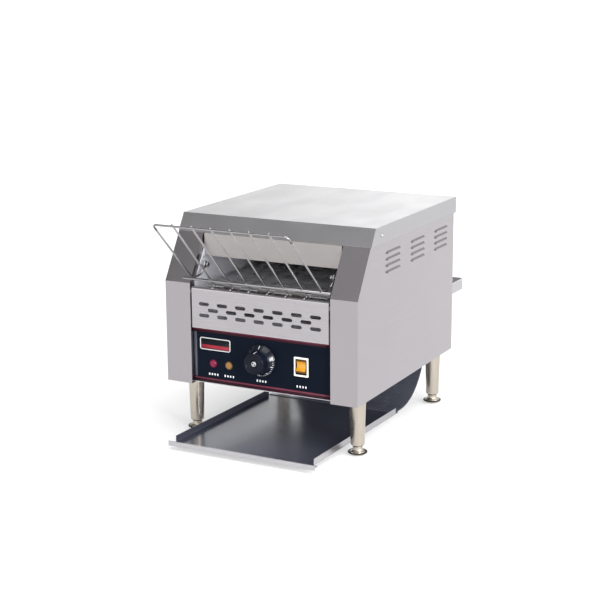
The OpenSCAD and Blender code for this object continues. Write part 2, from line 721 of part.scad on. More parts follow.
fan_size = 80;
fan_z = base_top + 0.1;
module fan_frame() {
    color(black) placed() translate([fan_x, fan_y, fan_z]) difference() {
        union() {
            difference() {
                linear_extrude(25) polygon(round_rect(fan_size, fan_size, 5));
                translate([0, 0, -1]) cylinder(r = 37, h = 30);
            }
            for (a = [45, 135]) rotate([0, 0, a]) translate([-38, -2.5, 0]) cube([76, 5, 3]);
            cylinder(r = 15, h = 3);
            cylinder(r = 4, h = 9);
        }
        translate([0, 0, 2]) cylinder(r = 1.5 + play, h = 10);
        for (x = [-36, 36], y = [-36, 36]) translate([x, y, -1]) cylinder(r = 1.8, h = 30);
    }
}

module fan_rotor() {
    color(black) placed() translate([fan_x, fan_y, fan_z]) {
        difference() {
            translate([0, 0, 4]) cylinder(r = 15, h = 18);
            translate([0, 0, 3]) cylinder(r = 13.5, h = 17);
        }
        translate([0, 0, 3]) cylinder(r = 1.5, h = 18);
        for (a = [0:6]) rotate([0, 0, a * 360 / 7]) translate([14.5, 0, 13]) rotate([35, 0, 0])
            translate([0, -8.5, -0.6]) cube([20, 17, 1.2]);
    }
}

// Floor of the toasting chamber, turned down at the rear to close the electrics box
module crumb_plate() {
    color(steel) placed() along_x(-inner_x, inner_x) polygon([
        [control_recess + sheet_t + 0.2, 203], [box_rear_y - 14, 203], [box_rear_y - 1, 196],
        [box_rear_y - 1, base_top], [box_rear_y, base_top], [box_rear_y, 196.7],
        [box_rear_y - 13.6, 204], [control_recess + sheet_t + 0.2, 204]]);
}

module insulation_blanket() {
    color([0.85, 0.83, 0.76]) placed() block([-120, 42, 191], [120, 318, 202.9]);
}

module terminal_block() {
    color([0.85, 0.85, 0.8]) placed() difference() {
        block([-118, 296, base_top + 0.1], [-46, 320, base_top + 18]);
        for (i = [0:4]) translate([-111 + i * 14, 302, base_top + 8]) cylinder(r = 4, h = 20);
        for (i = [0:4]) translate([-111 + i * 14, 314, base_top + 8]) cylinder(r = 4, h = 20);
    }
}

// Supply leads from the cord gland, through the left inner wall, to the terminal block
module wiring_loom() {
    color(black) placed() translate([0, 0, gland_z]) bent_wire([[gland_x, 396], [gland_x, 300], [-90, 300]], 7, 16);
}

module cord_gland() {
    color(black) placed() translate([gland_x, 0, gland_z]) rotate([-90, 0, 0]) rotate_extrude() polygon([
        [4.5, rear_y - 11], [6, rear_y - 11], [6, rear_y], [11, rear_y], [11, rear_y + 4],
        [8, rear_y + 6], [7, rear_y + 14], [4.5, rear_y + 14]]);
}

// ---- outlet ----

// Frame of the tray: its floor's underside at the joint with the chute, sloping up to the front
module tray_frame() { placed() translate([0, tray_joint_y, tray_joint_z]) rotate([-tray_tilt, 0, 0]) children(); }

tray_wall_h = 11.5;
module output_tray() {
    front = -tray_joint_y - tray_reach;
    color(bright) tray_frame() {
        block([-tray_half_w, front + 1, 0], [tray_half_w, 14, sheet_t]);
        for (s = [-1, 1]) on_side(s)
            block([tray_half_w - sheet_t, front + 12, sheet_t / 2], [tray_half_w, 0, tray_wall_h]);
        block([-tray_half_w - 7.5, front + 1, 0], [tray_half_w + 7.5, front + 11, sheet_t]);
        block([-tray_half_w - 7.5, front, -4], [tray_half_w + 7.5, front + 1.5, 4.6]);
    }
}

module tray_rails() {
    color(steel) tray_frame() for (s = [-1, 1]) on_side(s) {
        block([92, -230, -2.3], [114, 28, -gap]);
        block([92, 16, -gap - 0.5], [114, 28, sheet_t + gap + 0.36]);
    }
}

module output_chute() {
    c = [chute_bend_y, chute_z + chute_r];
    top = 150;
    color(bright) placed() along_x(-chute_half_w, chute_half_w) polygon(concat(
        [[tray_joint_y + 1, chute_z]], arc(c, chute_r, -90, 0, 16), [[c[0] + chute_r, top], [c[0] + chute_r - sheet_t, top]],
        arc(c, chute_r - sheet_t, 0, -90, 16), [[tray_joint_y + 1, chute_z + sheet_t]]));
}

// Strap across the back that keeps the hot rear panel off a wall
module rear_guard() {
    r = 8;
    t = 2;
    w = guard_half_w;
    y1 = rear_reach;
    function half(sgn, o) = arc([sgn * (w - r), y1 - r], r - o, sgn > 0 ? 0 : 90, sgn > 0 ? 90 : 180, 8);
    color(bright) placed() translate([0, 0, guard_top - guard_h]) {
        linear_extrude(guard_h) polygon(concat(
            [[w - t, rear_y], [w, rear_y]], half(1, 0), half(-1, 0), [[-w, rear_y], [t - w, rear_y]],
            [for (i = [8:-1:0]) half(-1, t)[i]], [for (i = [8:-1:0]) half(1, t)[i]]));
        for (s = [-1, 1]) on_side(s) block([w - 18, rear_y, 0], [w - t / 2, rear_y + t, guard_h]);
    }
}

// ---- legs ----

module leg(x, y) {
    foot_top = 14.7;
    color([0.78, 0.74, 0.70]) placed() translate([x, y, 0]) rotate_extrude() polygon([
        [0, 60], [5 + play, 60], [5 + play, foot_top], [8.6, foot_top], [9, 15.3], [11.7, 17.6],
        [12, 19], [14.3, body_bottom - 4], [14.3, body_bottom + sheet_t], [4, body_bottom + sheet_t],
        [4, body_bottom + 14], [0, body_bottom + 14]]);
}
module foot(x, y) {
    color([0.78, 0.74, 0.70]) placed() translate([x, y, 0]) rotate_extrude() polygon([
        [0, 0], [12, 0], [15.8, 3], [16.6, 4], [16.6, 5.2], [15.8, 5.8], [10.4, 7.4], [8.4, 9.6],
        [8.4, 14.4], [5, 14.4], [5, 45], [0, 45]]);
}
module leg_front_left() { leg(-leg_x, leg_front_y); }
module leg_front_right() { leg(leg_x, leg_front_y); }
module leg_rear_left() { leg(-leg_x, leg_rear_y); }
module leg_rear_right() { leg(leg_x, leg_rear_y); }
module foot_front_left() { foot(-leg_x, leg_front_y); }
module foot_front_right() { foot(leg_x, leg_front_y); }
module foot_rear_left() { foot(-leg_x, leg_rear_y); }
module foot_rear_right() { foot(leg_x, leg_rear_y); }

// ---- fasteners ----

// Pan-head screw along +Z, head below z = 0
module screw(l) {
    difference() {
        rotate_extrude() polygon(concat([[0, 0]], [[0, -2]], arc([0, 2.6], 4.6, -90, -45, 5), [[3.4, 0]]));
        for (a = [0, 90]) rotate([0, 0, a]) translate([-1.8, -0.4, -3]) cube([3.6, 0.8, 1.9]);
    }
    cylinder(r = 1.5, h = l);
}
module screws() {
    color(bright) placed() for (s = [-1, 1]) on_side(s) {
        translate([body_w / 2, cover_screw_y, cover_screw_z]) rotate([0, -90, 0]) screw(7);
        for (z = rear_screw_z) translate([rear_screw_x, rear_y, z]) rotate([90, 0, 0]) screw(7);
    }
}

side_panel_left();
side_panel_right();
inner_wall_left();
inner_wall_right();
base_plate();
rear_panel();
top_cover();
front_header();
slotted_panel();
control_panel();
panel_overlay();
badge_plate();
red_lamp();
amber_lamp();
speed_control();
control_shaft();
speed_knob();
knob_cap();
rocker_housing();
power_rocker();
loading_rack();
rack_pins();
deflector();
upper_reflector();
lower_reflector();
upper_heaters();
lower_heaters();
heater_caps();
mesh_belt();
front_shaft();
rear_shaft();
front_sprockets();
rear_sprockets();
shaft_bushes();
drive_sprocket();
drive_chain();
motor_sprocket();
motor_shaft();
motor_gearbox();
drive_motor();
fan_frame();
fan_rotor();
crumb_plate();
insulation_blanket();
terminal_block();
wiring_loom();
cord_gland();
output_tray();
tray_rails();
output_chute();
rear_guard();
leg_front_left();
leg_front_right();
leg_rear_left();
leg_rear_right();
foot_front_left();
foot_front_right();
foot_rear_left();
foot_rear_right();
screws();
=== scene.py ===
import json
import math

import bmesh
import bpy
from mathutils import Matrix, Vector


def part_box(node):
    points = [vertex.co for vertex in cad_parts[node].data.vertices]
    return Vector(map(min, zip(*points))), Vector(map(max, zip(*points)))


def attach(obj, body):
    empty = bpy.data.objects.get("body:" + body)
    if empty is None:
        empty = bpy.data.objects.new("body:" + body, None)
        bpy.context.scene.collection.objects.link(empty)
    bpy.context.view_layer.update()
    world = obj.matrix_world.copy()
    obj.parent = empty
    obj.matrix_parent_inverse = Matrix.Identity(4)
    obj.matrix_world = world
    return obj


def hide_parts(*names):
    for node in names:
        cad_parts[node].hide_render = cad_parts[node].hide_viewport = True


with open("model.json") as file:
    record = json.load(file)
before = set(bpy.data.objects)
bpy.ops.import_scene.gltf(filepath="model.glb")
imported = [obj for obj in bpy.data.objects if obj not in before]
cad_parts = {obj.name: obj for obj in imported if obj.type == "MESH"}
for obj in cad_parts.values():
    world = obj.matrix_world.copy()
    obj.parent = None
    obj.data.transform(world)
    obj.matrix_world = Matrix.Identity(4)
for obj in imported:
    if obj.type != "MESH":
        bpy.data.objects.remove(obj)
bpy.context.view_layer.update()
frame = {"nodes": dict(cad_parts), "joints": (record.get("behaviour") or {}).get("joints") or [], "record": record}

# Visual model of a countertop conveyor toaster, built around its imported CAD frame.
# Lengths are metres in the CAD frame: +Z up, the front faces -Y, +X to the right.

MM = 0.001
JOINTS = {joint["name"]: joint for joint in frame["joints"]}
SCENE = bpy.context.scene


def middle(node):
    """Middle of a CAD node's box."""
    low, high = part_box(node)
    return (low + high) / 2


def front_axis(node):
    """Where the axis along Y through a node's middle crosses y = 0."""
    centre = middle(node)
    return Vector((centre.x, 0, centre.z))


def in_mm(points, a=0.0, b=0.0):
    """Profile points given in millimetres from the point (a, b), as metres."""
    return [(a + u * MM, b + v * MM) for u, v in points]


# ---- mesh helpers ----


def make_object(name, bm):
    """Turns a bmesh into a linked object with smooth shading."""
    bmesh.ops.recalc_face_normals(bm, faces=bm.faces)
    mesh = bpy.data.meshes.new(name)
    bm.to_mesh(mesh)
    bm.free()
    for face in mesh.polygons:
        face.use_smooth = True
    obj = bpy.data.objects.new(name, mesh)
    SCENE.collection.objects.link(obj)
    return obj


def soften(obj, width, segments=3, angle=30):
    """Rounds the sharp edges and evens out the shading of flat faces."""
    bevel = obj.modifiers.new("edges", "BEVEL")
    bevel.width = width
    bevel.segments = segments
    bevel.limit_method = "ANGLE"
    bevel.angle_limit = math.radians(angle)
    shading = obj.modifiers.new("shading", "WEIGHTED_NORMAL")
    shading.keep_sharp = False
    return obj


def add_piece(name, bm, body, slot, *nodes, look=None):
    """Makes a piece, hangs it on the body it rides on and hides the nodes it stands for.
    It has the look of its slot's name unless another look is named."""
    obj = make_object(name, bm)
    obj.data.materials.append(LOOKS[look or slot])
    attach(obj, body)
    if nodes:
        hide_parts(*nodes)
    return obj


def paint(obj, look, chosen):
    """Gives a second look to the faces that chosen(face) picks."""
    obj.data.materials.append(LOOKS[look])
    for face in obj.data.polygons:
        if chosen(face):
            face.material_index = 1


ON_AXIS = 1e-7
TIP_LENGTH, TIP_SHARE = 0.45, 0.6


def join_rings(bm, ring_a, ring_b):
    """Faces between two rings, where a ring of one vertex is a point on the axis."""
    count = max(len(ring_a), len(ring_b))
    if count == 1:
        return
    for i in range(count):
        j = (i + 1) % count
        corners = [ring_a[i % len(ring_a)], ring_a[j % len(ring_a)]]
        corners += [ring_b[j % len(ring_b)], ring_b[i % len(ring_b)]]
        bm.faces.new(list(dict.fromkeys(corners)))


def revolve(bm, profile, centre, axis, steps=72, closed=False, wave=None):
    """Turns (radius, distance) points about the Y or Z axis through centre.
    wave(angle, index) may scale the radius of a profile point round the turn."""
    rings = []
    for index, (radius, distance) in enumerate(profile):
        ring = []
        for i in range(steps if radius > ON_AXIS else 1):
            angle = 2 * math.pi * i / steps
            r = radius * (wave(angle, index) if wave else 1.0)
            u, v = r * math.cos(angle), r * math.sin(angle)
            offset = (u, distance, v) if axis == "Y" else (u, v, distance)
            ring.append(bm.verts.new(Vector(centre) + Vector(offset)))
        rings.append(ring)
    for a, b in zip(rings, rings[1:]):
        join_rings(bm, a, b)
    if closed:
        join_rings(bm, rings[-1], rings[0])


def rounded_profile(points, radius, steps=3):
    """A (radius, distance) profile whose inner corners are turned into small arcs."""
    flat = rounded([Vector((p[0], p[1], 0)) for p in points], radius, steps)
    return [(p.x, p.y) for p in flat]


def rounded(points, radius, steps=6):
    """A path through the points, with each inner corner turned into an arc."""
    points = [Vector(p) for p in points]
    path = [points[0]]
    for a, b, c in zip(points, points[1:], points[2:]):
        ahead, onward = (b - a).normalized(), (c - b).normalized()
        turn = ahead.angle(onward)
        if turn < 1e-4:
            path.append(b)
            continue
        room = 0.49 * min((b - a).length, (c - b).length)
        r = min(radius, room / math.tan(turn / 2))
        inward = (onward - ahead * ahead.dot(onward)).normalized()
        centre = b - ahead * r * math.tan(turn / 2) + inward * r
        for i in range(steps + 1):
            t = turn * i / steps
            path.append(centre - inward * r * math.cos(t) + ahead * r * math.sin(t))
    return path + [points[-1]]


def sweep(bm, points, radius, sides=12, closed=False):
    """A round wire along a path, with rounded ends where the path is open."""
    points = [Vector(p) for p in points]
    count = len(points)
    tangents = []
    for i in range(count):
        before = points[i - 1] if closed or i > 0 else points[i]
        after = points[(i + 1) % count] if closed or i < count - 1 else points[i]
        tangents.append((after - before).normalized())
    normal = tangents[0].orthogonal().normalized()
    stations = [(p, t, 1.0) for p, t in zip(points, tangents)]
    if not closed:
        tip = TIP_LENGTH * radius
        stations.insert(0, (points[0] - tangents[0] * tip, tangents[0], TIP_SHARE))
        stations.append((points[-1] + tangents[-1] * tip, tangents[-1], TIP_SHARE))
    rings = []
    for point, tangent, share in stations:
        normal = (normal - tangent * normal.dot(tangent)).normalized()
        side = tangent.cross(normal)
        ring = []
        for k in range(sides):
            angle = 2 * math.pi * k / sides
            out = normal * math.cos(angle) + side * math.sin(angle)
            ring.append(bm.verts.new(point + out * radius * share))
        rings.append(ring)
    for a, b in zip(rings, rings[1:]):
        join_rings(bm, a, b)
    if closed:
        join_rings(bm, rings[-1], rings[0])
    else:
        bm.faces.new(rings[0])
        bm.faces.new(rings[-1])


def rounded_rectangle(width, height, radius, steps=6):
    """Outline points of a rounded rectangle about the origin."""
    outline = []
    for quarter, (sx, sy) in enumerate([(1, 1), (-1, 1), (-1, -1), (1, -1)]):
        cx, cy = sx * (width / 2 - radius), sy * (height / 2 - radius)
        for i in range(steps + 1):
            angle = math.radians(90 * (quarter + i / steps))
            outline.append((cx + radius * math.cos(angle), cy + radius * math.sin(angle)))
    return outline


def loft(bm, sections, close_ends=True):
    """Joins outlines of equal point count, each a list of 3-D points, into a skin."""
    rings = [[bm.verts.new(p) for p in section] for section in sections]
    for a, b in zip(rings, rings[1:]):
        join_rings(bm, a, b)
    if close_ends:
        bm.faces.new(rings[0])
        bm.faces.new(rings[-1])
    return rings


def front_plate(bm, outline, centre, front, back):
    """A plate that faces -Y: an (x, z) outline about centre, between two depths."""
    loft(bm, [[(centre.x + x, y, centre.z + z) for x, z in outline] for y in (front, back)])


def along_x(bm, outline, x0, x1):
    """A bar with a (y, z) outline, between two widths."""
    loft(bm, [[(x, y, z) for y, z in outline] for x in (x0, x1)])


# ---- material helpers ----


LOOKS = {}


def material(name, colour, metallic=0.0, roughness=0.5, **sockets):
    """A Principled material with its uniform values on the shader's own sockets. It is
    kept in LOOKS under its name."""
    made = bpy.data.materials.new(name)
    LOOKS[name] = made
    made.use_nodes = True
    shader = made.node_tree.nodes["Principled BSDF"]
    shader.inputs["Base Color"].default_value = (*colour, 1)
    shader.inputs["Metallic"].default_value = metallic
    shader.inputs["Roughness"].default_value = roughness
    for socket, value in sockets.items():
        shader.inputs[socket.replace("_", " ")].default_value = value
    return made


class Weave:
    """Adds texture nodes to a material. Texture scales are in features per metre."""

    def __init__(self, made):
        self.tree = made.node_tree
        self.shader = self.tree.nodes["Principled BSDF"]
        self.place = self.tree.nodes.new("ShaderNodeTexCoord").outputs["Object"]

    def node(self, kind, **values):
        made = self.tree.nodes.new(kind)
        for name, value in values.items():
            if name in made.inputs:
                made.inputs[name].default_value = value
            else:
                setattr(made, name, value)
        return made

    def link(self, source, target):
        self.tree.links.new(source, target)

    def stretched(self, scale):
        """Object coordinates, scaled along each axis."""
        mapping = self.node("ShaderNodeMapping", Scale=scale)
        self.link(self.place, mapping.inputs["Vector"])
        return mapping.outputs["Vector"]

    def noise(self, scale, detail=3.0, rough=0.5):
        """Noise with features of about 1/scale metres along each axis."""
        made = self.node("ShaderNodeTexNoise", Scale=1.0, Detail=detail, Roughness=rough)
        self.link(self.stretched(scale), made.inputs["Vector"])
        return made.outputs["Fac"]

    def remap(self, value, low, high, start=0.3, end=0.7):
        """Turns start..end, where most of a noise lies, into low..high."""
        made = self.node("ShaderNodeMapRange")
        made.inputs["From Min"].default_value = start
        made.inputs["From Max"].default_value = end
        made.inputs["To Min"].default_value = low
        made.inputs["To Max"].default_value = high
        self.link(value, made.inputs["Value"])
        return made.outputs["Result"]

    def math(self, operation, a, b):
        made = self.node("ShaderNodeMath", operation=operation)
        for socket, value in zip(made.inputs, (a, b)):
            if isinstance(value, (int, float)):
                socket.default_value = value
            else:
                self.link(value, socket)
        return made.outputs["Value"]

    def blend(self, share, colour_a, colour_b):
        """A mix of two colours, each a tuple or a node's output."""
        made = self.node("ShaderNodeMix", data_type="RGBA")
        self.link(share, made.inputs["Factor"])
        for name, colour in (("A", colour_a), ("B", colour_b)):
            socket = [s for s in made.inputs if s.name == name and s.type == "RGBA"][0]
            if isinstance(colour, tuple):
                socket.default_value = (*colour, 1)
            else:
                self.link(colour, socket)
        return [s for s in made.outputs if s.type == "RGBA"][0]

    def colour(self, value):
        self.link(value, self.shader.inputs["Base Color"])

    def roughness(self, value):
        self.link(value, self.shader.inputs["Roughness"])

    def relief(self, height, depth, strength=1.0):
        bump = self.node("ShaderNodeBump", Strength=strength, Distance=depth)
        self.link(height, bump.inputs["Height"])
        self.link(bump.outputs["Normal"], self.shader.inputs["Normal"])


def tinted(colour, factor):
    """A colour made lighter or darker."""
    return tuple(min(1.0, c * factor) for c in colour)


GRAIN_FINE = 2600.0
GRAIN_LONG = 14.0
SHEET_CLOUDS = (9.0, 9.0, 9.0)
WIPE_MARKS = (24.0, 10.0, 30.0)


def brushed(
    name, colour, roughness, grain="X", contrast=0.08, relief=1.0, cloud=0.10, metallic=1.0, **sockets
):
    """Brushed sheet: fine grain along one axis, slow clouding, and faint wiping marks."""
    made = material(name, colour, metallic=metallic, roughness=roughness, **sockets)
    weave = Weave(made)
    scale = [GRAIN_FINE] * 3
    scale["XYZ".index(grain)] = GRAIN_LONG
    lines = weave.noise(scale, detail=4.0, rough=0.65)
    clouds = weave.noise(SHEET_CLOUDS, detail=3.0)
    wipes = weave.noise(WIPE_MARKS, detail=4.0)
    toned = weave.blend(
        weave.remap(lines, 0.0, 1.0), tinted(colour, 1 - contrast), tinted(colour, 1 + contrast)
    )
    weave.colour(weave.blend(weave.remap(clouds, 0.0, cloud), toned, tinted(colour, 0.75)))
    base = weave.remap(lines, roughness * 0.88, roughness * 1.15)
    weave.roughness(weave.math("ADD", base, weave.remap(wipes, -0.015, 0.03)))
    weave.relief(lines, 0.00002 * relief, 0.6)
    return made


def moulded(name, colour, roughness, grain_size=0.0006, depth=0.00003, **sockets):
    """Moulded plastic, rubber or ceramic: a fine skin texture and a little unevenness."""
    made = material(name, colour, roughness=roughness, **sockets)
    weave = Weave(made)
    skin = weave.noise((1 / grain_size,) * 3, detail=2.0)
    clouds = weave.noise((35.0,) * 3, detail=3.0)
    weave.colour(weave.blend(weave.remap(clouds, 0, 1), tinted(colour, 0.88), tinted(colour, 1.08)))
    weave.roughness(weave.remap(skin, roughness * 0.8, min(1.0, roughness * 1.25)))
    weave.relief(skin, depth, 0.5)
    return made


def turned_metal(name, colour, roughness, rings=900.0, metallic=1.0):
    """Drawn or turned metal: slight roughness bands and small scratches."""
    made = material(name, colour, metallic=metallic, roughness=roughness)
    weave = Weave(made)
    bands = weave.noise((rings,) * 3, detail=3.0, rough=0.6)
    clouds = weave.noise((40.0,) * 3, detail=3.0)
    weave.colour(weave.blend(weave.remap(clouds, 0, 1), tinted(colour, 0.9), tinted(colour, 1.05)))
    weave.roughness(weave.remap(bands, roughness * 0.8, roughness * 1.3))
    weave.relief(bands, 0.00001, 0.4)
    return made


def glowing_plastic(name, colour, roughness, glow, **sockets):
    """Smooth plastic with some light inside it, for lamps and the switch."""
    return moulded(
        name, colour, roughness, depth=0.00001, Subsurface_Weight=glow, Subsurface_Scale=0.003, **sockets
    )


def ink_and_painted_light(name, colour, roughness=0.4, specular=0.1):
    """Printing ink, or flat colour for painted shade and highlights, with a weak sheen."""
    return moulded(name, colour, roughness, Specular_IOR_Level=specular)


# ---- looks: one for each slot of the record, by the slot's name ----

brushed("side_steel", (0.355, 0.336, 0.352), 0.22, "Y")
brushed("cover_steel", (0.367, 0.360, 0.371), 0.33, "X", contrast=0.03, cloud=0.02)
brushed("grille_steel", (0.396, 0.380, 0.396), 0.28, "X")
brushed("inner_steel", (0.61, 0.61, 0.67), 0.45, "Y", metallic=0.35)
brushed("base_steel", (0.50, 0.50, 0.53), 0.42, "X", metallic=0.5)
brushed("deflector_steel", (0.316, 0.299, 0.292), 0.36, "X", metallic=0.8)
brushed("reflector_steel", (0.42, 0.41, 0.41), 0.30, "X")
# the tray sheet's dark tone stands for painted shade and dark reflection on its inner faces
brushed("tray_steel", (0.052, 0.056, 0.078), 0.20, "X", relief=0.4, metallic=0.25, Specular_IOR_Level=0.2)
brushed("guard_steel", (0.424, 0.413, 0.424), 0.26, "X")
brushed("leg_steel", (0.45, 0.408, 0.353), 0.24, "Z", contrast=0.05, cloud=0.05)
brushed("badge_metal", (0.72, 0.70, 0.70), 0.30, "X")
turned_metal("belt_wire", (0.25, 0.25, 0.265), 0.55, metallic=0.25)
turned_metal("rack_chrome", (0.30, 0.29, 0.298), 0.14)
turned_metal("pin_steel", (0.42, 0.42, 0.43), 0.26)
turned_metal("shaft_steel", (0.60, 0.60, 0.62), 0.25)
turned_metal("sprocket_steel", (0.28, 0.28, 0.29), 0.36)
turned_metal("bush_bronze", (0.56, 0.38, 0.18), 0.36)
turned_metal("knob_silver", (0.46, 0.46, 0.48), 0.30)
moulded("motor_paint", (0.10, 0.105, 0.11), 0.45, Coat_Weight=0.2)
moulded("panel_navy", (0.0040, 0.0068, 0.0135), 0.32, Specular_IOR_Level=0.03)
moulded("knob_black", (0.006, 0.008, 0.015), 0.16, depth=0.00001, Specular_IOR_Level=0.12)
moulded("switch_white", (0.86, 0.84, 0.78), 0.28, depth=0.00001)
glowing_plastic("switch_amber", (0.64, 0.30, 0.008), 0.22, 0.25, Coat_Weight=0.2)
glowing_plastic("lens_red", (0.19, 0.010, 0.042), 0.16, 0.2, Specular_IOR_Level=0.25)
glowing_plastic("lens_amber", (0.27, 0.14, 0.045), 0.18, 0.3, Specular_IOR_Level=0.25)
moulded("control_body", (0.02, 0.02, 0.022), 0.50)
moulded("quartz", (0.80, 0.76, 0.72), 0.18, Transmission_Weight=0.45)
moulded("ceramic", (0.78, 0.75, 0.68), 0.35)
moulded("blanket", (0.72, 0.70, 0.62), 0.90, grain_size=0.004, depth=0.0012)
moulded("lead_rubber", (0.018, 0.018, 0.018), 0.55)

# and more looks for printing, for parts of a piece, and for painted light and shade, whose slot is one of the
# above
moulded("print_white", (0.80, 0.81, 0.84), 0.40)
ink_and_painted_light("print_burgundy", (0.095, 0.014, 0.030), roughness=0.35)
# rose for the thin lines along the rules: painted highlight
ink_and_painted_light("painted_rose_highlight", (0.16, 0.052, 0.075))
ink_and_painted_light("print_maroon", (0.028, 0.004, 0.010))
ink_and_painted_light("print_grey", (0.07, 0.075, 0.095))
ink_and_painted_light("print_red", (0.26, 0.02, 0.035), roughness=0.35, specular=0.15)
# black for print, and for the dark gap lines along the panel's rules: painted shade
ink_and_painted_light("black_print_and_gap_shade", (0.005, 0.006, 0.009), roughness=0.35)
ink_and_painted_light("collar_red", (0.085, 0.006, 0.026), roughness=0.3, specular=0.2)
ink_and_painted_light("collar_amber", (0.075, 0.045, 0.015), roughness=0.3, specular=0.2)
# a lighter copy of the tray's sheet for its outward faces and the lip: painted light
brushed("tray_lit_outside", (0.46, 0.45, 0.47), 0.28, "X")
# a lighter copy of the tray's sheet for the chute: painted light
brushed("chute_lit_steel", (0.15, 0.16, 0.20), 0.24, "X", relief=0.4, metallic=0.5)
# flat black for painted shade inside holes and wells
moulded("painted_hole_shade", (0.004, 0.004, 0.004), 0.70)
# glossy black for the gap round each foot's flange: painted shade
ink_and_painted_light("foot_ring", (0.006, 0.006, 0.006), roughness=0.35, specular=0.25)
moulded("knob_skirt", (0.006, 0.008, 0.015), 0.08, depth=0.000003, Specular_IOR_Level=0.28)
# darker amber for the rocker's edges: painted shade
moulded("rocker_edge_shade", (0.16, 0.07, 0.004), 0.35)


# ---- speed knob ----

KNOB_LOW, KNOB_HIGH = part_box("speed_knob")
KNOB_AXIS = front_axis("speed_knob")
KNOB_FACE = KNOB_LOW.y
KNOB_BACK = KNOB_HIGH.y
SKIRT_R = (KNOB_HIGH.x - KNOB_LOW.x) / 2
GRIP_R = SKIRT_R - 10 * MM
SKIRT_INNER = (GRIP_R + 3 * MM, KNOB_BACK - 8.4 * MM)
SKIRT_OUTER = (SKIRT_R - 1.5 * MM, KNOB_BACK - 2.9 * MM)
FLUTES = 20
FLUTE_DEPTH = 0.022


def build_knob():
    """Dial knob: a fluted grip with turned grooves in its face, on a glossy sloping skirt."""
    face, back, grip, skirt = KNOB_FACE, KNOB_BACK, GRIP_R, SKIRT_R
    cap_seat = [(0, 3), (6.3, 3), (6.3, 1.2)]
    groove = [(-0.5, 0.9), (-0.25, 1.45), (0.25, 1.45), (0.5, 0.9)]
    outline = in_mm(cap_seat, 0, face)
    for groove_r in (8.6, 12.2, 15.0):
        outline += in_mm(groove, groove_r * MM, face)
    outline += in_mm([(-1.6, 0.1), (-0.5, 0.4)], grip, face)
    flute_from = len(outline)
    outline += in_mm([(0, 1.6), (0.2, 4)], grip, face) + in_mm([(0.7, -11.5)], grip, back)
    flute_to = len(outline)
    outline += in_mm([(1.2, -9.6)], grip, back)
    # rings close to both ends of the cone keep its shading straight in between
    for share in (0.0, 0.06, 0.94, 1.0):
        outline.append(tuple(a + (b - a) * share for a, b in zip(SKIRT_INNER, SKIRT_OUTER)))
    outline += in_mm([(-0.4, -2.2), (0, -1.5), (0, -0.2), (-0.3, 0), (-2, 0)], skirt, back)
    outline += [(grip, back - 3.9 * MM), (0.0, back - 3.9 * MM)]

    def flutes(angle, index):
        deep = flute_from <= index < flute_to
        return 1 - (FLUTE_DEPTH * max(0.0, math.cos(FLUTES * angle)) if deep else 0.0)

    def on_cone(polygon):
        away = polygon.center - KNOB_AXIS
        return math.hypot(away.x, away.z) > SKIRT_INNER[0]

    bm = bmesh.new()
    revolve(bm, outline, KNOB_AXIS, "Y", steps=240, wave=flutes)
    paint(add_piece("knob_body", bm, "knob", "knob_black", "speed_knob"), "knob_skirt", on_cone)


def on_skirt(angle, share, lift, sideways=0.0):
    """A point on the skirt's cone: angle clockwise from the top as seen from the front."""
    radius = SKIRT_INNER[0] + (SKIRT_OUTER[0] - SKIRT_INNER[0]) * share
    depth = SKIRT_INNER[1] + (SKIRT_OUTER[1] - SKIRT_INNER[1]) * share - lift
    out = Vector((math.sin(angle), 0, math.cos(angle)))
    across = Vector((math.cos(angle), 0, -math.sin(angle)))
    return KNOB_AXIS + out * radius + across * sideways + Vector((0, depth, 0))


def skirt_mark(bm, angle, start, end, width):
    """One printed line on the skirt, as a thin raised strip."""
    proud = 0.12 * MM
    corners = ((-1, 0.0), (-1, proud), (1, proud), (1, 0.0))
    loft(bm, [[on_skirt(angle, share, lift, side * width / 2) for side, lift in corners]
              for share in (start, end)])


def build_knob_marks():
    """White pointer and dial marks on the skirt, and the pointer's end on the grip."""
    first_angle, angle_step, count = 72, 9, 17
    bm = bmesh.new()
    skirt_mark(bm, 0.0, 0.05, 0.92, 1.1 * MM)
    for i in range(count):
        start, width = (0.25, 1.0 * MM) if i % 4 == 0 else (0.55, 0.6 * MM)
        skirt_mark(bm, math.radians(first_angle + angle_step * i), start, 0.95, width)
    half, sunk = 0.55 * MM, 0.3 * MM
    edge = in_mm([(-0.5, 0.45), (0.1, 1.6), (0.3, 4)], GRIP_R, KNOB_FACE)
    edge += in_mm([(0.65, -13)], GRIP_R, KNOB_BACK)
    corners = ((-half, 0.0), (half, 0.0), (half, -sunk), (-half, -sunk))
    loft(bm, [[KNOB_AXIS + Vector((x, y, r + down)) for x, down in corners] for r, y in edge])
    add_piece("knob_marks", bm, "knob", "knob_silver", look="print_white")


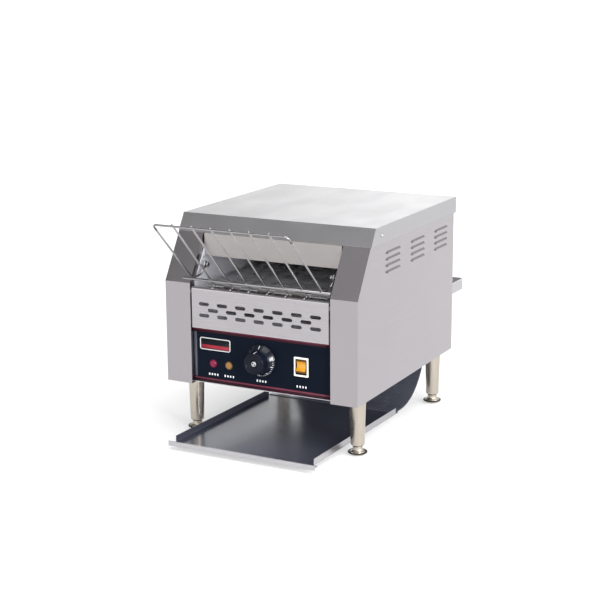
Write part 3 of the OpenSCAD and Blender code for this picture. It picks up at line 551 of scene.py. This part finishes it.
def build_knob_cap():
    """Silver centre cap with a rounded black rim and two small spanner holes drawn as black discs of painted
    shade.
    """
    low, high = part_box("knob_cap")
    radius = (high.x - low.x) / 2
    silver = radius * 0.76
    disc = [(0.0, low.y + 0.35 * MM), (silver * 0.6, low.y + 0.25 * MM), (silver * 0.85, low.y)]
    disc += [(silver, low.y + 0.4 * MM), (silver, high.y), (0.0, high.y)]
    bm = bmesh.new()
    revolve(bm, disc, KNOB_AXIS, "Y", steps=64)
    add_piece("cap_disc", bm, "knob", "knob_silver", "knob_cap")
    rim = in_mm([(0, 0.7), (0.3, 0.35)], silver, low.y) + [(radius * 0.93, low.y + 0.35 * MM)]
    rim += [(radius, low.y + 0.9 * MM), (radius, high.y), (silver, high.y)]
    bm = bmesh.new()
    revolve(bm, rim, KNOB_AXIS, "Y", steps=64, closed=True)
    add_piece("cap_rim", bm, "knob", "knob_black")
    # the spanner holes are flat black discs in the cap: painted shade
    hole_right, hole_down = 2.2 * MM, 1.2 * MM
    hole = in_mm([(0, 0.1), (1.4, 0.1), (1.5, 0.4), (1.5, 1), (0, 1)], 0, low.y)
    bm = bmesh.new()
    for side in (-1, 1):
        centre = KNOB_AXIS + Vector((side * hole_right, 0, -side * hole_down))
        revolve(bm, hole, centre, "Y", steps=20)
    add_piece("cap_hole_shades", bm, "knob", "knob_black", look="painted_hole_shade")


# ---- power switch ----


def build_switch():
    """White bezel with a sloping inner rim, painted black inside as shade, and its body behind the panel."""
    low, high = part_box("rocker_housing")
    centre = (low + high) / 2
    face_y, plate_back = low.y, low.y + 2 * MM
    opening, outer = (20.0 * MM, 25.6 * MM), (high.x - low.x, high.z - low.z)
    body = (22.8 * MM, 28.8 * MM)
    well = (10.4 * MM, 13.2 * MM)
    tabs_from = high.y - 9 * MM

    def section(size, grown, corner, depth):
        outline = rounded_rectangle(size[0] + grown, size[1] + grown, corner)
        return [(centre.x + x, depth, centre.z + z) for x, z in outline]

    # faces deep inside the opening get the black of painted shade
    def in_shaded_well(face):
        away = face.center - centre
        within = abs(away.x) < well[0] and abs(away.z) < well[1]
        return within and face_y + 0.9 * MM < face.center.y < tabs_from

    bm = bmesh.new()
    loft(bm, [
        section(opening, 0.0, 0.6 * MM, face_y + 22 * MM),
        section(opening, 0.0, 0.6 * MM, face_y + 1.6 * MM),
        section(opening, 1.2 * MM, 1.0 * MM, face_y + 0.5 * MM),
        section(opening, 2.0 * MM, 1.2 * MM, face_y + 0.1 * MM),
        section(opening, 3.0 * MM, 1.4 * MM, face_y),
        section(outer, -1.4 * MM, 1.4 * MM, face_y),
        section(outer, -0.3 * MM, 1.5 * MM, face_y + 0.5 * MM),
        section(outer, 0.0, 1.5 * MM, face_y + 1.1 * MM),
        section(outer, 0.0, 1.5 * MM, plate_back),
        section(body, 0.0, 0.8 * MM, plate_back),
        section(body, 0.0, 0.8 * MM, high.y - 8 * MM),
    ])
    for offset in (-9 * MM, 0.0, 9 * MM):
        tab = [(x, z + offset) for x, z in rounded_rectangle(6 * MM, 0.8 * MM, 0.2 * MM, 2)]
        front_plate(bm, tab, centre, tabs_from, high.y)
    bezel = add_piece("switch_bezel", bm, "chassis", "switch_white", "rocker_housing")
    paint(bezel, "painted_hole_shade", in_shaded_well)


def build_rocker():
    """Amber rocker: two shallow dished faces that meet at its middle, leaning as at rest."""
    pivot = Vector(JOINTS["power_rocker_tilt"]["pos_m"])
    turn = Matrix.Rotation(math.radians(-10), 3, "X")
    half_width, pin_r, pin_reach = 9.2 * MM, 1.5 * MM, 10.8 * MM
    tip_r, tip_angle, back_angle = 12.4 * MM, math.radians(136.6), math.radians(60)
    valley, dish = -5.2 * MM, 0.9 * MM
    tip = Vector((0, tip_r * math.cos(tip_angle), tip_r * math.sin(tip_angle)))
    outline = []
    for i in range(11):
        t = i / 10
        outline.append((valley + (tip.y - valley) * t + dish * math.sin(math.pi * t), tip.z * t))
    for i in range(1, 15):
        angle = tip_angle + (back_angle - tip_angle) * i / 14
        outline.append((tip_r * math.cos(angle), tip_r * math.sin(angle)))
    outline += [(y, -z) for y, z in reversed(outline[1:])]

    # the cheeks and the ends of the tips get the darker amber: painted shade
    def on_shaded_edge(face):
        local = turn.inverted() @ (face.center - pivot)
        return abs(local.x) > 0.9 * half_width or abs(local.z) > tip.z - 0.7 * MM

    # each cheek is rounded: the outline shrinks over the last tenth of the half width
    cheek = [(0.90, 1.0), (0.97, 0.96), (1.0, 0.90)]
    sections = []
    for across, share in [(-a, share) for a, share in reversed(cheek)] + cheek:
        seat = Vector((pivot.x + across * half_width, pivot.y, pivot.z))
        sections.append([seat + turn @ Vector((0, y * share, z * share)) for y, z in outline])
    bm = bmesh.new()
    loft(bm, sections)
    for side in (-1, 1):
        ends = [pivot + Vector((side * x, 0, 0)) for x in (half_width - 1 * MM, pin_reach)]
        sweep(bm, ends, pin_r, sides=20)
    key = add_piece("rocker_key", bm, "rocker", "switch_amber", "power_rocker")
    paint(key, "rocker_edge_shade", on_shaded_edge)


# ---- indicator lamps ----


def build_lamp(node, slot, collar_look):
    """A domed lens, its barrel behind the panel, and a thin collar round it."""
    low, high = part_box(node)
    axis = front_axis(node)
    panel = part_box("panel_overlay")[0].y
    collar_r = (high.x - low.x) / 2
    lens_r, barrel_r, dome = collar_r - 1.3 * MM, 3.9 * MM, 1.5 * MM
    lens = [(0.0, low.y)]
    for i in range(1, 7):
        angle = i / 6 * math.pi / 2
        lens.append((lens_r * 0.9 * math.sin(angle), low.y + dome * (1 - math.cos(angle))))
    lens += [(lens_r, panel - 1.2 * MM), (lens_r, panel), (0.0, panel)]
    barrel = [(0.0, panel), (barrel_r, panel), (barrel_r, high.y), (0.0, high.y)]
    bm = bmesh.new()
    revolve(bm, lens, axis, "Y", steps=48)
    revolve(bm, barrel, axis, "Y", steps=32)
    add_piece(node + "_lens", bm, "chassis", slot, node)
    collar = in_mm([(0, -1.3), (0.35, -1.5)], lens_r, panel)
    collar += in_mm([(-0.2, -0.9), (0, -0.05)], collar_r, panel) + in_mm([(0, -0.05)], lens_r, panel)
    bm = bmesh.new()
    revolve(bm, collar, axis, "Y", steps=48, closed=True)
    add_piece(node + "_collar", bm, "chassis", slot, look=collar_look)


# ---- name plate and printing on the control panel ----


def build_badge():
    """Blank plate: a raised light border round a dark field with one plain red stripe."""
    low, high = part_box("badge_plate")
    centre = (low + high) / 2
    width, height = high.x - low.x, high.z - low.z
    border, gap = 1.9 * MM, 0.2 * MM

    def section(shrink, depth):
        corner = max(0.8 * MM, 4 * MM - shrink)
        outline = rounded_rectangle(width - 2 * shrink, height - 2 * shrink, corner)
        return [(centre.x + x, depth, centre.z + z) for x, z in outline]

    bm = bmesh.new()
    loft(bm, [
        section(0.0, high.y),
        section(0.0, low.y + 0.35 * MM),
        section(0.25 * MM, low.y + 0.08 * MM),
        section(0.6 * MM, low.y),
        section(border - 0.5 * MM, low.y),
        section(border - 0.1 * MM, low.y + 0.1 * MM),
        section(border, low.y + 0.4 * MM),
    ])
    add_piece("badge_border", bm, "chassis", "badge_metal", "badge_plate")
    inner = (width - 2 * border - gap, height - 2 * border - gap)
    field = rounded_rectangle(*inner, 1.6 * MM)
    bm = bmesh.new()
    front_plate(bm, field, centre, low.y + 0.3 * MM, low.y + 0.6 * MM)
    add_piece("badge_field", bm, "chassis", "panel_navy", look="black_print_and_gap_shade")
    stripe_h = inner[1] * 0.36
    stripe_at = centre - Vector((0, 0, inner[1] / 2 - stripe_h / 2 - 0.9 * MM))
    stripe = rounded_rectangle(inner[0] - 2 * MM, stripe_h, 1.0 * MM)
    bm = bmesh.new()
    front_plate(bm, stripe, stripe_at, low.y + 0.24 * MM, low.y + 0.4 * MM)
    add_piece("badge_stripe", bm, "chassis", "badge_metal", look="print_red")


def build_panel_printing():
    """Rules along the panel's top and bottom, a band down its left side, and plain marks."""
    low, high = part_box("panel_overlay")
    front, back = low.y - 0.05 * MM, low.y + 0.1 * MM
    centre_x, centre_z = (low.x + high.x) / 2, (low.z + high.z) / 2
    width = high.x - low.x

    # in millimetres: how far it stands out, then (distance from the panel's edge, height)
    # at the top and at the bottom
    # the black lines stand for dark gaps along the rules (painted shade), and the rose lines are painted
    # highlights
    rules = (
        ("panel_rule_grounds", "print_maroon", 0.0, (4.6, 8.0), (4.6, 8.0)),
        ("panel_rule_gap_shade", "black_print_and_gap_shade", 0.03, (1.4, 1.6), (3.9, 1.0)),
        ("panel_rules", "print_burgundy", 0.03, (3.7, 2.8), (6.4, 3.0)),
        ("panel_rule_highlights", "painted_rose_highlight", 0.06, (3.5, 0.9), (6.5, 0.9)),
    )
    for name, look, proud, (from_top, top_h), (from_bottom, bottom_h) in rules:
        bm = bmesh.new()
        for z, height in ((high.z - from_top * MM, top_h), (low.z + from_bottom * MM, bottom_h)):
            bar = rounded_rectangle(width - 0.6 * MM, height * MM, 0.3 * MM, 2)
            front_plate(bm, bar, Vector((centre_x, 0, z)), front - proud * MM, back)
        add_piece(name, bm, "chassis", "panel_navy", look=look)

    # in millimetres: distance from the panel's left edge, and width
    side_bars = (("panel_side_band", "print_grey", 3.4, 5.2), ("panel_side_line", "black_print_and_gap_shade", 6.9, 1.8))
    side_height = high.z - low.z - 18 * MM
    for name, look, from_left, bar_width in side_bars:
        bar = rounded_rectangle(bar_width * MM, side_height, 0.4 * MM, 2)
        bm = bmesh.new()
        front_plate(bm, bar, Vector((low.x + from_left * MM, 0, centre_z)), front, back)
        add_piece(name, bm, "chassis", "panel_navy", look=look)

    marks_z = middle("amber_lamp").z - 19.5 * MM
    mark_pitch = 5.4 * MM
    mark = rounded_rectangle(2.7 * MM, 4.0 * MM, 1.1 * MM, 3)
    bm = bmesh.new()
    for node in ("red_lamp", "amber_lamp", "speed_knob", "rocker_housing"):
        for i in range(4):
            x = middle(node).x + (i - 1.5) * mark_pitch
            front_plate(bm, mark, Vector((x, 0, marks_z)), front, back)
    add_piece("panel_marks", bm, "chassis", "panel_navy", look="print_white")


# ---- loading rack ----


def build_rack():
    """Bent and welded wire rack, with smooth bends and a weld where wires cross."""
    pivot = Vector(JOINTS["rack_fold"]["pos_m"])
    low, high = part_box("loading_rack")
    wire, inner_wire, cross = 3.5 * MM / 2, 3.2 * MM / 2, 4.5 * MM / 2
    half_width, pitch, length = 123.5 * MM, 35 * MM, 158.5 * MM
    lean = math.radians(43.5)
    upward = Vector((0, -math.cos(lean), math.sin(lean)))
    behind = Vector((0, math.sin(lean), math.cos(lean)))
    crossbar = Vector((0, pivot.y - 48 * MM, pivot.z - 15.5 * MM))
    on_bar = crossbar + behind * (cross + wire - 1 * MM)
    top = on_bar + upward * length
    corner = top - upward * 16 * MM
    inner_tip = top + behind * 0.85 * 2 * wire + upward * 0.9 * MM
    hook_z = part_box("slotted_panel")[1].z + 0.3 * MM + inner_wire
    hook_y = on_bar.y + (on_bar.z - hook_z) / math.tan(lean)
    eye_r = 2.55 * MM + wire
    round_the_eye = [2 * math.pi * i / 40 for i in range(40)]
    inner_xs = [(i - 2.5) * pitch for i in range(6)]
    bm = bmesh.new()
    for x in (-half_width, half_width):
        arm = [(x, corner.y, corner.z), (x, on_bar.y + 3 * MM, on_bar.z - 3 * MM)]
        arm += [(x, pivot.y - 16 * MM, pivot.z - 14 * MM)]
        arm += [(x, pivot.y - 3 * MM, pivot.z - eye_r + 0.6 * MM)]
        sweep(bm, rounded(arm, 10 * MM, 10), wire, sides=16)
        eye = [pivot + Vector((x, eye_r * math.cos(a), eye_r * math.sin(a))) for a in round_the_eye]
        sweep(bm, eye, wire, sides=16, closed=True)
    bends = ((-half_width, corner), (-half_width, top), (half_width, top), (half_width, corner))
    sweep(bm, rounded([(x, p.y, p.z) for x, p in bends], 8 * MM, 12), wire, sides=16)
    ends = [(x, crossbar.y, crossbar.z) for x in (low.x + 0.8 * MM, high.x - 0.8 * MM)]
    sweep(bm, ends, cross, sides=20)
    for x in inner_xs:
        path = [(x, inner_tip.y, inner_tip.z), (x, hook_y, hook_z), (x, hook_y - 12 * MM, hook_z)]
        sweep(bm, rounded(path, 2.6 * MM, 8), inner_wire, sides=14)
    add_piece("rack_wires", bm, "rack", "rack_chrome", "loading_rack")
    at_crossbar, at_top = on_bar - behind * 0.8 * wire, top + behind * 0.8 * wire
    welds = [(x, at_crossbar) for x in (-half_width, *inner_xs, half_width)]
    welds += [(x, at_top) for x in inner_xs]
    bm = bmesh.new()
    for x, spot in welds:
        seat = Matrix.Translation((x, spot.y, spot.z)) @ Matrix.Diagonal((1.25, 1.0, 1.0, 1))
        bmesh.ops.create_icosphere(bm, subdivisions=2, radius=wire * 1.12, matrix=seat)
    add_piece("rack_welds", bm, "rack", "rack_chrome")


# ---- mesh belt ----


def build_belt():
    """Flat-flex belt: bent cross strands, each hooked over the next one, and two edges."""
    low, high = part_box("mesh_belt")
    outer = (high.z - low.z) / 2
    wire, crook = 0.75 * MM, 0.9 * MM
    radius = outer - 2 * wire
    front_y, rear_y, centre_z = low.y + outer, high.y - outer, (low.z + high.z) / 2
    run, turn = rear_y - front_y, math.pi * radius
    length = 2 * run + 2 * turn

    def side_view(along, lift):
        """A point (y, z) at a length along the belt's middle line, lifted off it."""
        s, r = along % length, radius + lift
        if s < run:
            return front_y + s, centre_z + r
        if s < run + turn:
            a = (s - run) / radius
            return rear_y + r * math.sin(a), centre_z + r * math.cos(a)
        if s < 2 * run + turn:
            return rear_y - (s - run - turn), centre_z - r
        a = (s - 2 * run - turn) / radius
        return front_y - r * math.sin(a), centre_z - r * math.cos(a)

    strands = round(length / (5.5 * MM))
    pitch = length / strands
    half_width = high.x - wire
    cells = 7
    cell = 2 * half_width / cells
    bm = bmesh.new()
    for i in range(strands):
        start = i * pitch
        hooked = start + 1.25 * pitch
        path = [(-half_width, *side_view(hooked if i % 2 else start, 0.0))]
        for k in range(cells):
            x = -half_width + k * cell
            here = start if k % 2 == i % 2 else hooked
            path.append((x + crook, *side_view(here, 0.5 * wire)))
            path.append((x + cell - crook, *side_view(here, 0.5 * wire)))
            path.append((x + cell, *side_view((start + hooked) / 2, -0.5 * wire)))
        path.append((half_width, *side_view(start, 0.0)))
        sweep(bm, path, wire, sides=5)
    add_piece("belt_strands", bm, "chassis", "belt_wire", "mesh_belt")
    rim = [side_view(length * i / 240, 0.0) for i in range(240)]
    bm = bmesh.new()
    for side in (-1, 1):
        edge = [(side * (half_width - 0.3 * MM), y, z) for y, z in rim]
        sweep(bm, edge, wire * 1.2, sides=8, closed=True)
    add_piece("belt_edges", bm, "chassis", "belt_wire")


# ---- legs and levelling feet ----


def build_leg(corner):
    """Tapered tube leg with a rounded collar, and its threaded foot with a wide flange and a black ring of painted
    shade round it.
    """
    leg, foot = "leg_" + corner, "foot_" + corner
    low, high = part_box(leg)
    foot_low, foot_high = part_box(foot)
    centre = Vector(((low.x + high.x) / 2, (low.y + high.y) / 2, 0))
    top_r, top = (high.x - low.x) / 2, high.z
    bore_r, bore_top, screw_r, screw_depth = 5.05 * MM, 60 * MM, 4 * MM, 14 * MM
    outline = [(bore_r, bore_top), (bore_r, low.z)] + in_mm([(8.6, 0), (9.0, 0.6)], 0, low.z)
    outline += in_mm([(11.6, 17.6), (11.95, 19)]) + in_mm([(0, -6), (0, -0.6), (-0.5, 0)], top_r, top)
    outline += [(screw_r, top), (screw_r, top - screw_depth), (0.0, top - screw_depth)]
    bm = bmesh.new()
    revolve(bm, [(0.0, bore_top)] + rounded_profile(outline, 0.6 * MM), centre, "Z", steps=96)
    add_piece(leg + "_tube", bm, "chassis", "leg_steel", leg)

    thread_top, turns = foot_high.z, 9
    turn = (thread_top - 15 * MM) / turns
    outline = in_mm([(0, 0), (11.4, 0), (12, 0.4), (15.7, 3.0), (15.9, 4.2), (13.4, 5.4), (13.2, 6.2)])
    outline += in_mm([(10.6, 7.2), (9.0, 8.6), (8.4, 9.8), (8.4, 14.4), (5, 14.4)])
    for i in range(turns):
        z = 14.6 * MM + i * turn
        outline += [(4.95 * MM, z + 0.25 * turn), (4.45 * MM, z + 0.75 * turn)]
    outline += [(4.2 * MM, thread_top), (0.0, thread_top)]
    bm = bmesh.new()
    revolve(bm, outline, centre, "Z", steps=80)
    base = add_piece(foot + "_base", bm, foot + "_body", "leg_steel", foot)
    soften(base, 0.25 * MM, 2, 35)

    # a black ring round the flange's edge stands for the dark gap there: painted shade
    flange = (foot_high.x - foot_low.x) / 2
    outline = in_mm([(13.3, 4.0), (15.8, 3.4)])
    outline += in_mm([(-0.2, 3.6), (0, 4.2), (0, 5.0), (-0.6, 5.6)], flange)
    outline += in_mm([(14.4, 5.9), (13.3, 5.6)])
    bm = bmesh.new()
    revolve(bm, outline, centre, "Z", steps=80, closed=True)
    add_piece(foot + "_ring", bm, foot + "_body", "leg_steel", look="foot_ring")


# ---- tray and chute ----


def build_tray():
    """Sliding tray: a floor with turned-up hemmed walls and a wider lip across the front.
    It is drawn level, with its rear joint at the origin, and then tilted into place."""
    low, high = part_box("output_tray")
    slide = Vector(JOINTS["tray_slide"]["axis"])
    tilt = math.atan2(slide.z, -slide.y)
    half, lip_half = 132.5 * MM, (high.x - low.x) / 2
    wall, sheet, tail, cut = 11.5 * MM, 1.0 * MM, 14 * MM, 3 * MM
    joint_y = high.y - tail * math.cos(tilt) - sheet * math.sin(tilt)
    joint = Vector((0, joint_y, low.z + tail * math.sin(tilt)))
    front = -(joint.y - low.y) / math.cos(tilt) + 0.3 * MM
    seat = Matrix.Translation(joint) @ Matrix.Rotation(-tilt, 4, "X")

    # outward faces of the walls and the underside get the lighter copy: painted light
    def on_lit_outside(face):
        outward = face.normal.x * face.center.x > 0 and abs(face.normal.x) > 0.6
        return (outward and abs(face.center.x) > half - 0.9 * MM) or face.normal.z < -0.9

    floor = [(-half, front + 1.4 * MM), (half, front + 1.4 * MM), (half, tail - cut)]
    floor += [(half - cut, tail), (cut - half, tail), (-half, tail - cut)]
    bm = bmesh.new()
    loft(bm, [[(x, y, z) for x, y in floor] for z in (0.0, sheet)])
    inside = half - sheet
    bend = in_mm([(-1.6, 0), (-0.5, 0.35), (0, 1.5)], inside, sheet)
    bend += in_mm([(0, -0.6), (-0.3, 0)], inside, wall)
    bend += in_mm([(-0.15, 0), (0, -0.3), (0, -3.2), (-0.18, -3.5)], half, wall)
    bend += in_mm([(-0.18, 0.6), (-1.2, 0.2)], half) + in_mm([(-1.6, 0.3)], inside)
    for side in (-1, 1):
        loft(bm, [[(side * x, y, z) for x, z in bend] for y in (front + 12 * MM, 0.0)])
    bm.transform(seat)
    tray = add_piece("tray_floor", bm, "tray", "tray_steel", "output_tray")
    soften(tray, 0.25 * MM, 2, 35)
    paint(tray, "tray_lit_outside", on_lit_outside)

    # side view of the lip, folded over the floor's edge, from its front face
    strip = in_mm([
        (10.8, 1.25), (11.2, 1.02), (11.2, 0.05), (1.4, 0.05), (1.4, -3.6), (1.1, -4.0), (0.3, -4.0),
        (0.0, -3.6), (0.0, 4.1), (0.4, 4.6), (1.2, 4.6), (1.5, 4.2), (1.5, 1.6), (2.0, 1.25),
    ])
    bm = bmesh.new()
    along_x(bm, [(front + y, z) for y, z in strip], -lip_half, lip_half)
    bm.transform(seat)
    # the lip has the lighter copy of the tray's sheet: painted light
    lip = add_piece("tray_lip", bm, "tray", "tray_steel", look="tray_lit_outside")
    soften(lip, 0.2 * MM, 2, 35)


def build_chute():
    """Curved chute: one polished sheet, flat at the front and rolled up at the rear."""
    low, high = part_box("output_chute")
    sheet, outer = 1.0 * MM, 111 * MM
    centre_y, centre_z = high.y - outer, low.z + outer
    quarter = [math.radians(-90 + 90 * i / 48) for i in range(49)]

    def curve(radius):
        return [(centre_y + radius * math.cos(a), centre_z + radius * math.sin(a)) for a in quarter]

    outline = [(low.y, low.z), (centre_y, low.z)] + curve(outer)
    outline += [(high.y, high.z), (high.y - sheet, high.z)]
    outline += curve(outer - sheet)[::-1] + [(low.y, low.z + sheet)]
    bm = bmesh.new()
    along_x(bm, outline, low.x, high.x)
    # the chute's sheet is the lighter copy of the tray's: painted light
    chute = add_piece("chute_sheet", bm, "chassis", "tray_steel", "output_chute", look="chute_lit_steel")
    soften(chute, 0.2 * MM, 2, 35)


# ---- drive chain ----


def build_chain():
    """Roller chain: figure-of-eight plates and pins at every pitch round both wheels."""
    low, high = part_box("drive_chain")
    chain_pitch, motor_teeth, drive_teeth = 6.35 * MM, 16, 24
    motor, drive = [Vector(JOINTS[name]["pos_m"]).yz for name in ("motor_spin", "rear_roller_spin")]
    motor_r, drive_r = [
        chain_pitch / 2 / math.sin(math.pi / teeth) for teeth in (motor_teeth, drive_teeth)]
    lean = math.atan2(drive.y - motor.y, drive.x - motor.x)
    flare = math.acos((motor_r - drive_r) / (drive - motor).length)

    def arc(centre, radius, start, end, steps):
        return [centre + radius * Vector((math.cos(t), math.sin(t)))
                for t in [start + (end - start) * i / steps for i in range(steps + 1)]]

    loop = arc(motor, motor_r, lean + flare, lean + 2 * math.pi - flare, 40)
    loop += arc(drive, drive_r, lean - flare, lean + flare, 60)
    loop.append(loop[0])
    lengths = [0.0]
    for p, q in zip(loop, loop[1:]):
        lengths.append(lengths[-1] + (q - p).length)
    links = 2 * round(lengths[-1] / chain_pitch / 2)

    def at(share):
        """The point at a share of the loop's length."""
        want = share * lengths[-1]
        i = next(k for k in range(1, len(lengths)) if lengths[k] >= want - 1e-12)
        t = (want - lengths[i - 1]) / max(lengths[i] - lengths[i - 1], 1e-12)
        return loop[i - 1].lerp(loop[i], t)

    pins = [at(i / links) for i in range(links)]
    middle_x, reach = (low.x + high.x) / 2, (high.x - low.x) / 2
    plate_r, plate, pin_r = 2.3 * MM, 0.5 * MM, 0.9 * MM
    waist = 0.72 * plate_r
    bm = bmesh.new()
    for i, pin in enumerate(pins):
        ahead = pins[(i + 1) % links]
        along = (ahead - pin).normalized()
        across = Vector((-along.y, along.x))
        outline = []
        for start, end, sign in ((pin, ahead, 1), (ahead, pin, -1)):
            for k in range(7):
                t = math.radians(90 + 180 * k / 6)
                outline.append(start + sign * (along * math.cos(t) + across * math.sin(t)) * plate_r)
            outline.append((start + end) / 2 - sign * across * waist)
        sunk = 1.15 * MM if i % 2 == 0 else 0.55 * MM
        for side in (-1, 1):
            x = middle_x + side * (reach - sunk)
            loft(bm, [[(depth, p.x, p.y) for p in outline] for depth in (x, x + side * plate)])
        for side in (-1, 1):
            ends = sorted(middle_x + side * (reach - from_end) for from_end in (0.4 * MM, 1.3 * MM))
            sweep(bm, [(x, pin.x, pin.y) for x in ends], pin_r, 10)
    add_piece("chain_links", bm, "chassis", "sprocket_steel", "drive_chain")


# ---- CAD nodes that stay ----


def dress_cad_nodes():
    """Gives each CAD node that is still shown the material of its slot, and rounds its edges."""
    slots = {part["node"]: part["material_slot"] for part in frame["record"]["subparts"]}
    fine = ("motor_sprocket", "drive_sprocket", "front_sprockets", "rear_sprockets", "screws", "fan_rotor")
    fine_edge, sheet_edge = 0.15 * MM, 0.4 * MM
    for name, node in frame["nodes"].items():
        if node.hide_render:
            continue
        node.data.materials.clear()
        node.data.materials.append(LOOKS[slots[name]])
        weld = node.modifiers.new("weld", "WELD")
        weld.merge_threshold = 0.01 * MM
        flatten = node.modifiers.new("flatten", "DECIMATE")
        flatten.decimate_type = "DISSOLVE"
        flatten.angle_limit = math.radians(0.5)
        soften(node, fine_edge if name in fine else sheet_edge, 2, 24)


# ---- stage, light and camera ----


def build_stage():
    """Plain pale floor, which glows a little so that shadows stay light."""
    reach = 40.0
    bm = bmesh.new()
    bmesh.ops.create_grid(bm, x_segments=8, y_segments=8, size=reach)
    floor = make_object("floor", bm)
    paper = material(
        "floor_paper", (0.54, 0.54, 0.54), roughness=0.9, Specular_IOR_Level=0.1,
        Emission_Color=(1.0, 1.0, 1.0, 1.0), Emission_Strength=0.42,
    )
    weave = Weave(paper)
    tone = weave.noise((3.0,) * 3, detail=2.0)
    weave.colour(weave.blend(weave.remap(tone, 0, 1), (0.535,) * 3, (0.545,) * 3))
    floor.data.materials.append(paper)


# (position, level) along the height, from the horizon at 0 to straight up at 1
HEIGHT_LEVELS = ((0.0, 0.85), (0.30, 0.85), (0.45, 0.37), (0.58, 0.195), (0.80, 0.225), (1.0, 0.55))
# (position, level) along the direction of the bright patch
PATCH_LEVELS = ((0.20, 0.0), (0.33, 0.40), (0.48, 1.0), (0.62, 1.0), (0.78, 0.0))
PATCH_BOOST = 2.1


def build_world():
    """Bright near the horizon, darker above the front, and light again overhead. It is
    brighter towards the front right, and one bright patch low behind lights up the top."""
    world = bpy.data.worlds.new("studio")
    SCENE.world = world
    world.use_nodes = True
    tree = world.node_tree
    direction = tree.nodes.new("ShaderNodeTexCoord").outputs["Generated"]

    def along(toward):
        """How far the direction points toward something, from -1 to 1."""
        made = tree.nodes.new("ShaderNodeVectorMath")
        made.operation = "DOT_PRODUCT"
        made.inputs[1].default_value = toward
        tree.links.new(direction, made.inputs[0])
        return made.outputs["Value"]

    def levels(value, points):
        """Grey levels along a value from 0 to 1."""
        ramp = tree.nodes.new("ShaderNodeValToRGB")
        for spare in list(ramp.color_ramp.elements)[1:]:
            ramp.color_ramp.elements.remove(spare)
        for index, (position, level) in enumerate(points):
            elements = ramp.color_ramp.elements
            element = elements[0] if index == 0 else elements.new(position)
            element.position = position
            element.color = (level, level, level, 1)
        tree.links.new(value, ramp.inputs["Fac"])
        return ramp.outputs["Color"]

    def combine(operation, a, b):
        """Two values, each a number or a node's output, added or multiplied."""
        made = tree.nodes.new("ShaderNodeMath")
        made.operation = operation
        for socket, value in zip(made.inputs, (a, b)):
            if isinstance(value, float):
                socket.default_value = value
            else:
                tree.links.new(value, socket)
        return made.outputs["Value"]

    front_right = tree.nodes.new("ShaderNodeMapRange")
    for socket, value in (("From Min", -0.16), ("From Max", 0.0), ("To Min", 0.9), ("To Max", 2.9)):
        front_right.inputs[socket].default_value = value
    tree.links.new(along((0.8, -0.6, 0.0)), front_right.inputs["Value"])
    patch = levels(along((0.6, 0.8, 0.0)), PATCH_LEVELS)
    boost = combine("ADD", combine("MULTIPLY", patch, PATCH_BOOST), 1.0)
    strength = combine("MULTIPLY", front_right.outputs["Result"], boost)
    background = tree.nodes["Background"]
    tree.links.new(levels(along((0.0, 0.0, 1.0)), HEIGHT_LEVELS), background.inputs["Color"])
    tree.links.new(strength, background.inputs["Strength"])


def add_light(name, kind, place_at, aim_at, **values):
    """A lamp of the given kind, aimed at a point."""
    data = bpy.data.lights.new(name, kind)
    for key, value in values.items():
        setattr(data, key, value)
    lamp = bpy.data.objects.new(name, data)
    toward = Vector(aim_at) - Vector(place_at)
    lamp.rotation_euler = toward.to_track_quat("-Z", "Y").to_euler()
    lamp.location = place_at
    SCENE.collection.objects.link(lamp)


def build_light():
    """One broad soft light from above, a tall strip on the right and a fill behind."""
    add_light("overhead", "SUN", (0.5, -0.4, 2.0), (0, 0, 0), energy=1.75, angle=math.radians(50))
    add_light(
        "strip_right", "AREA", (1.87, -1.28, 0.62), (0, -0.2, 0.12),
        energy=26, shape="RECTANGLE", size=0.20, size_y=1.2,
    )
    add_light("fill_behind", "AREA", (1.0, 2.0, 1.8), (0.9, 2.0, 0), energy=8, shape="DISK", size=1.5)


# the camera stands at a fixed distance in front of the rack's pivot
PIVOT_Y = JOINTS["rack_fold"]["pos_m"][1]
CAMERA_PLACE = Vector((1.1492, PIVOT_Y - 2.0839, 0.8240))
CAMERA_AZIMUTH = math.radians(27.608)
CAMERA_ELEVATION = math.radians(13.464)
CAMERA_ROLL = math.radians(-0.358)
CAMERA_LENS = 86.94
SENSOR_WIDTH = 36.0


def build_camera():
    """The main view's camera, without depth of field."""
    camera = bpy.data.cameras.new("camera")
    camera.lens = CAMERA_LENS
    camera.sensor_width = SENSOR_WIDTH
    camera.clip_end = 200.0
    obj = bpy.data.objects.new("camera", camera)
    az, el = CAMERA_AZIMUTH, CAMERA_ELEVATION
    ahead = Vector((-math.sin(az) * math.cos(el), math.cos(az) * math.cos(el), -math.sin(el)))
    right = Vector((math.cos(az), math.sin(az), 0))
    up = right.cross(ahead)
    level = Matrix((right, up, -ahead)).transposed()
    rolled = level @ Matrix.Rotation(CAMERA_ROLL, 3, "Z")
    obj.matrix_world = Matrix.Translation(CAMERA_PLACE) @ rolled.to_4x4()
    SCENE.collection.objects.link(obj)
    SCENE.camera = obj


build_knob()
build_knob_marks()
build_knob_cap()
build_switch()
build_rocker()
build_lamp("red_lamp", "lens_red", "collar_red")
build_lamp("amber_lamp", "lens_amber", "collar_amber")
build_badge()
build_panel_printing()
build_rack()
build_belt()
for corner_name in ("front_left", "front_right", "rear_left", "rear_right"):
    build_leg(corner_name)
build_tray()
build_chute()
build_chain()
dress_cad_nodes()
build_stage()
build_world()
build_light()
build_camera()
SCENE.view_settings.view_transform = "Standard"
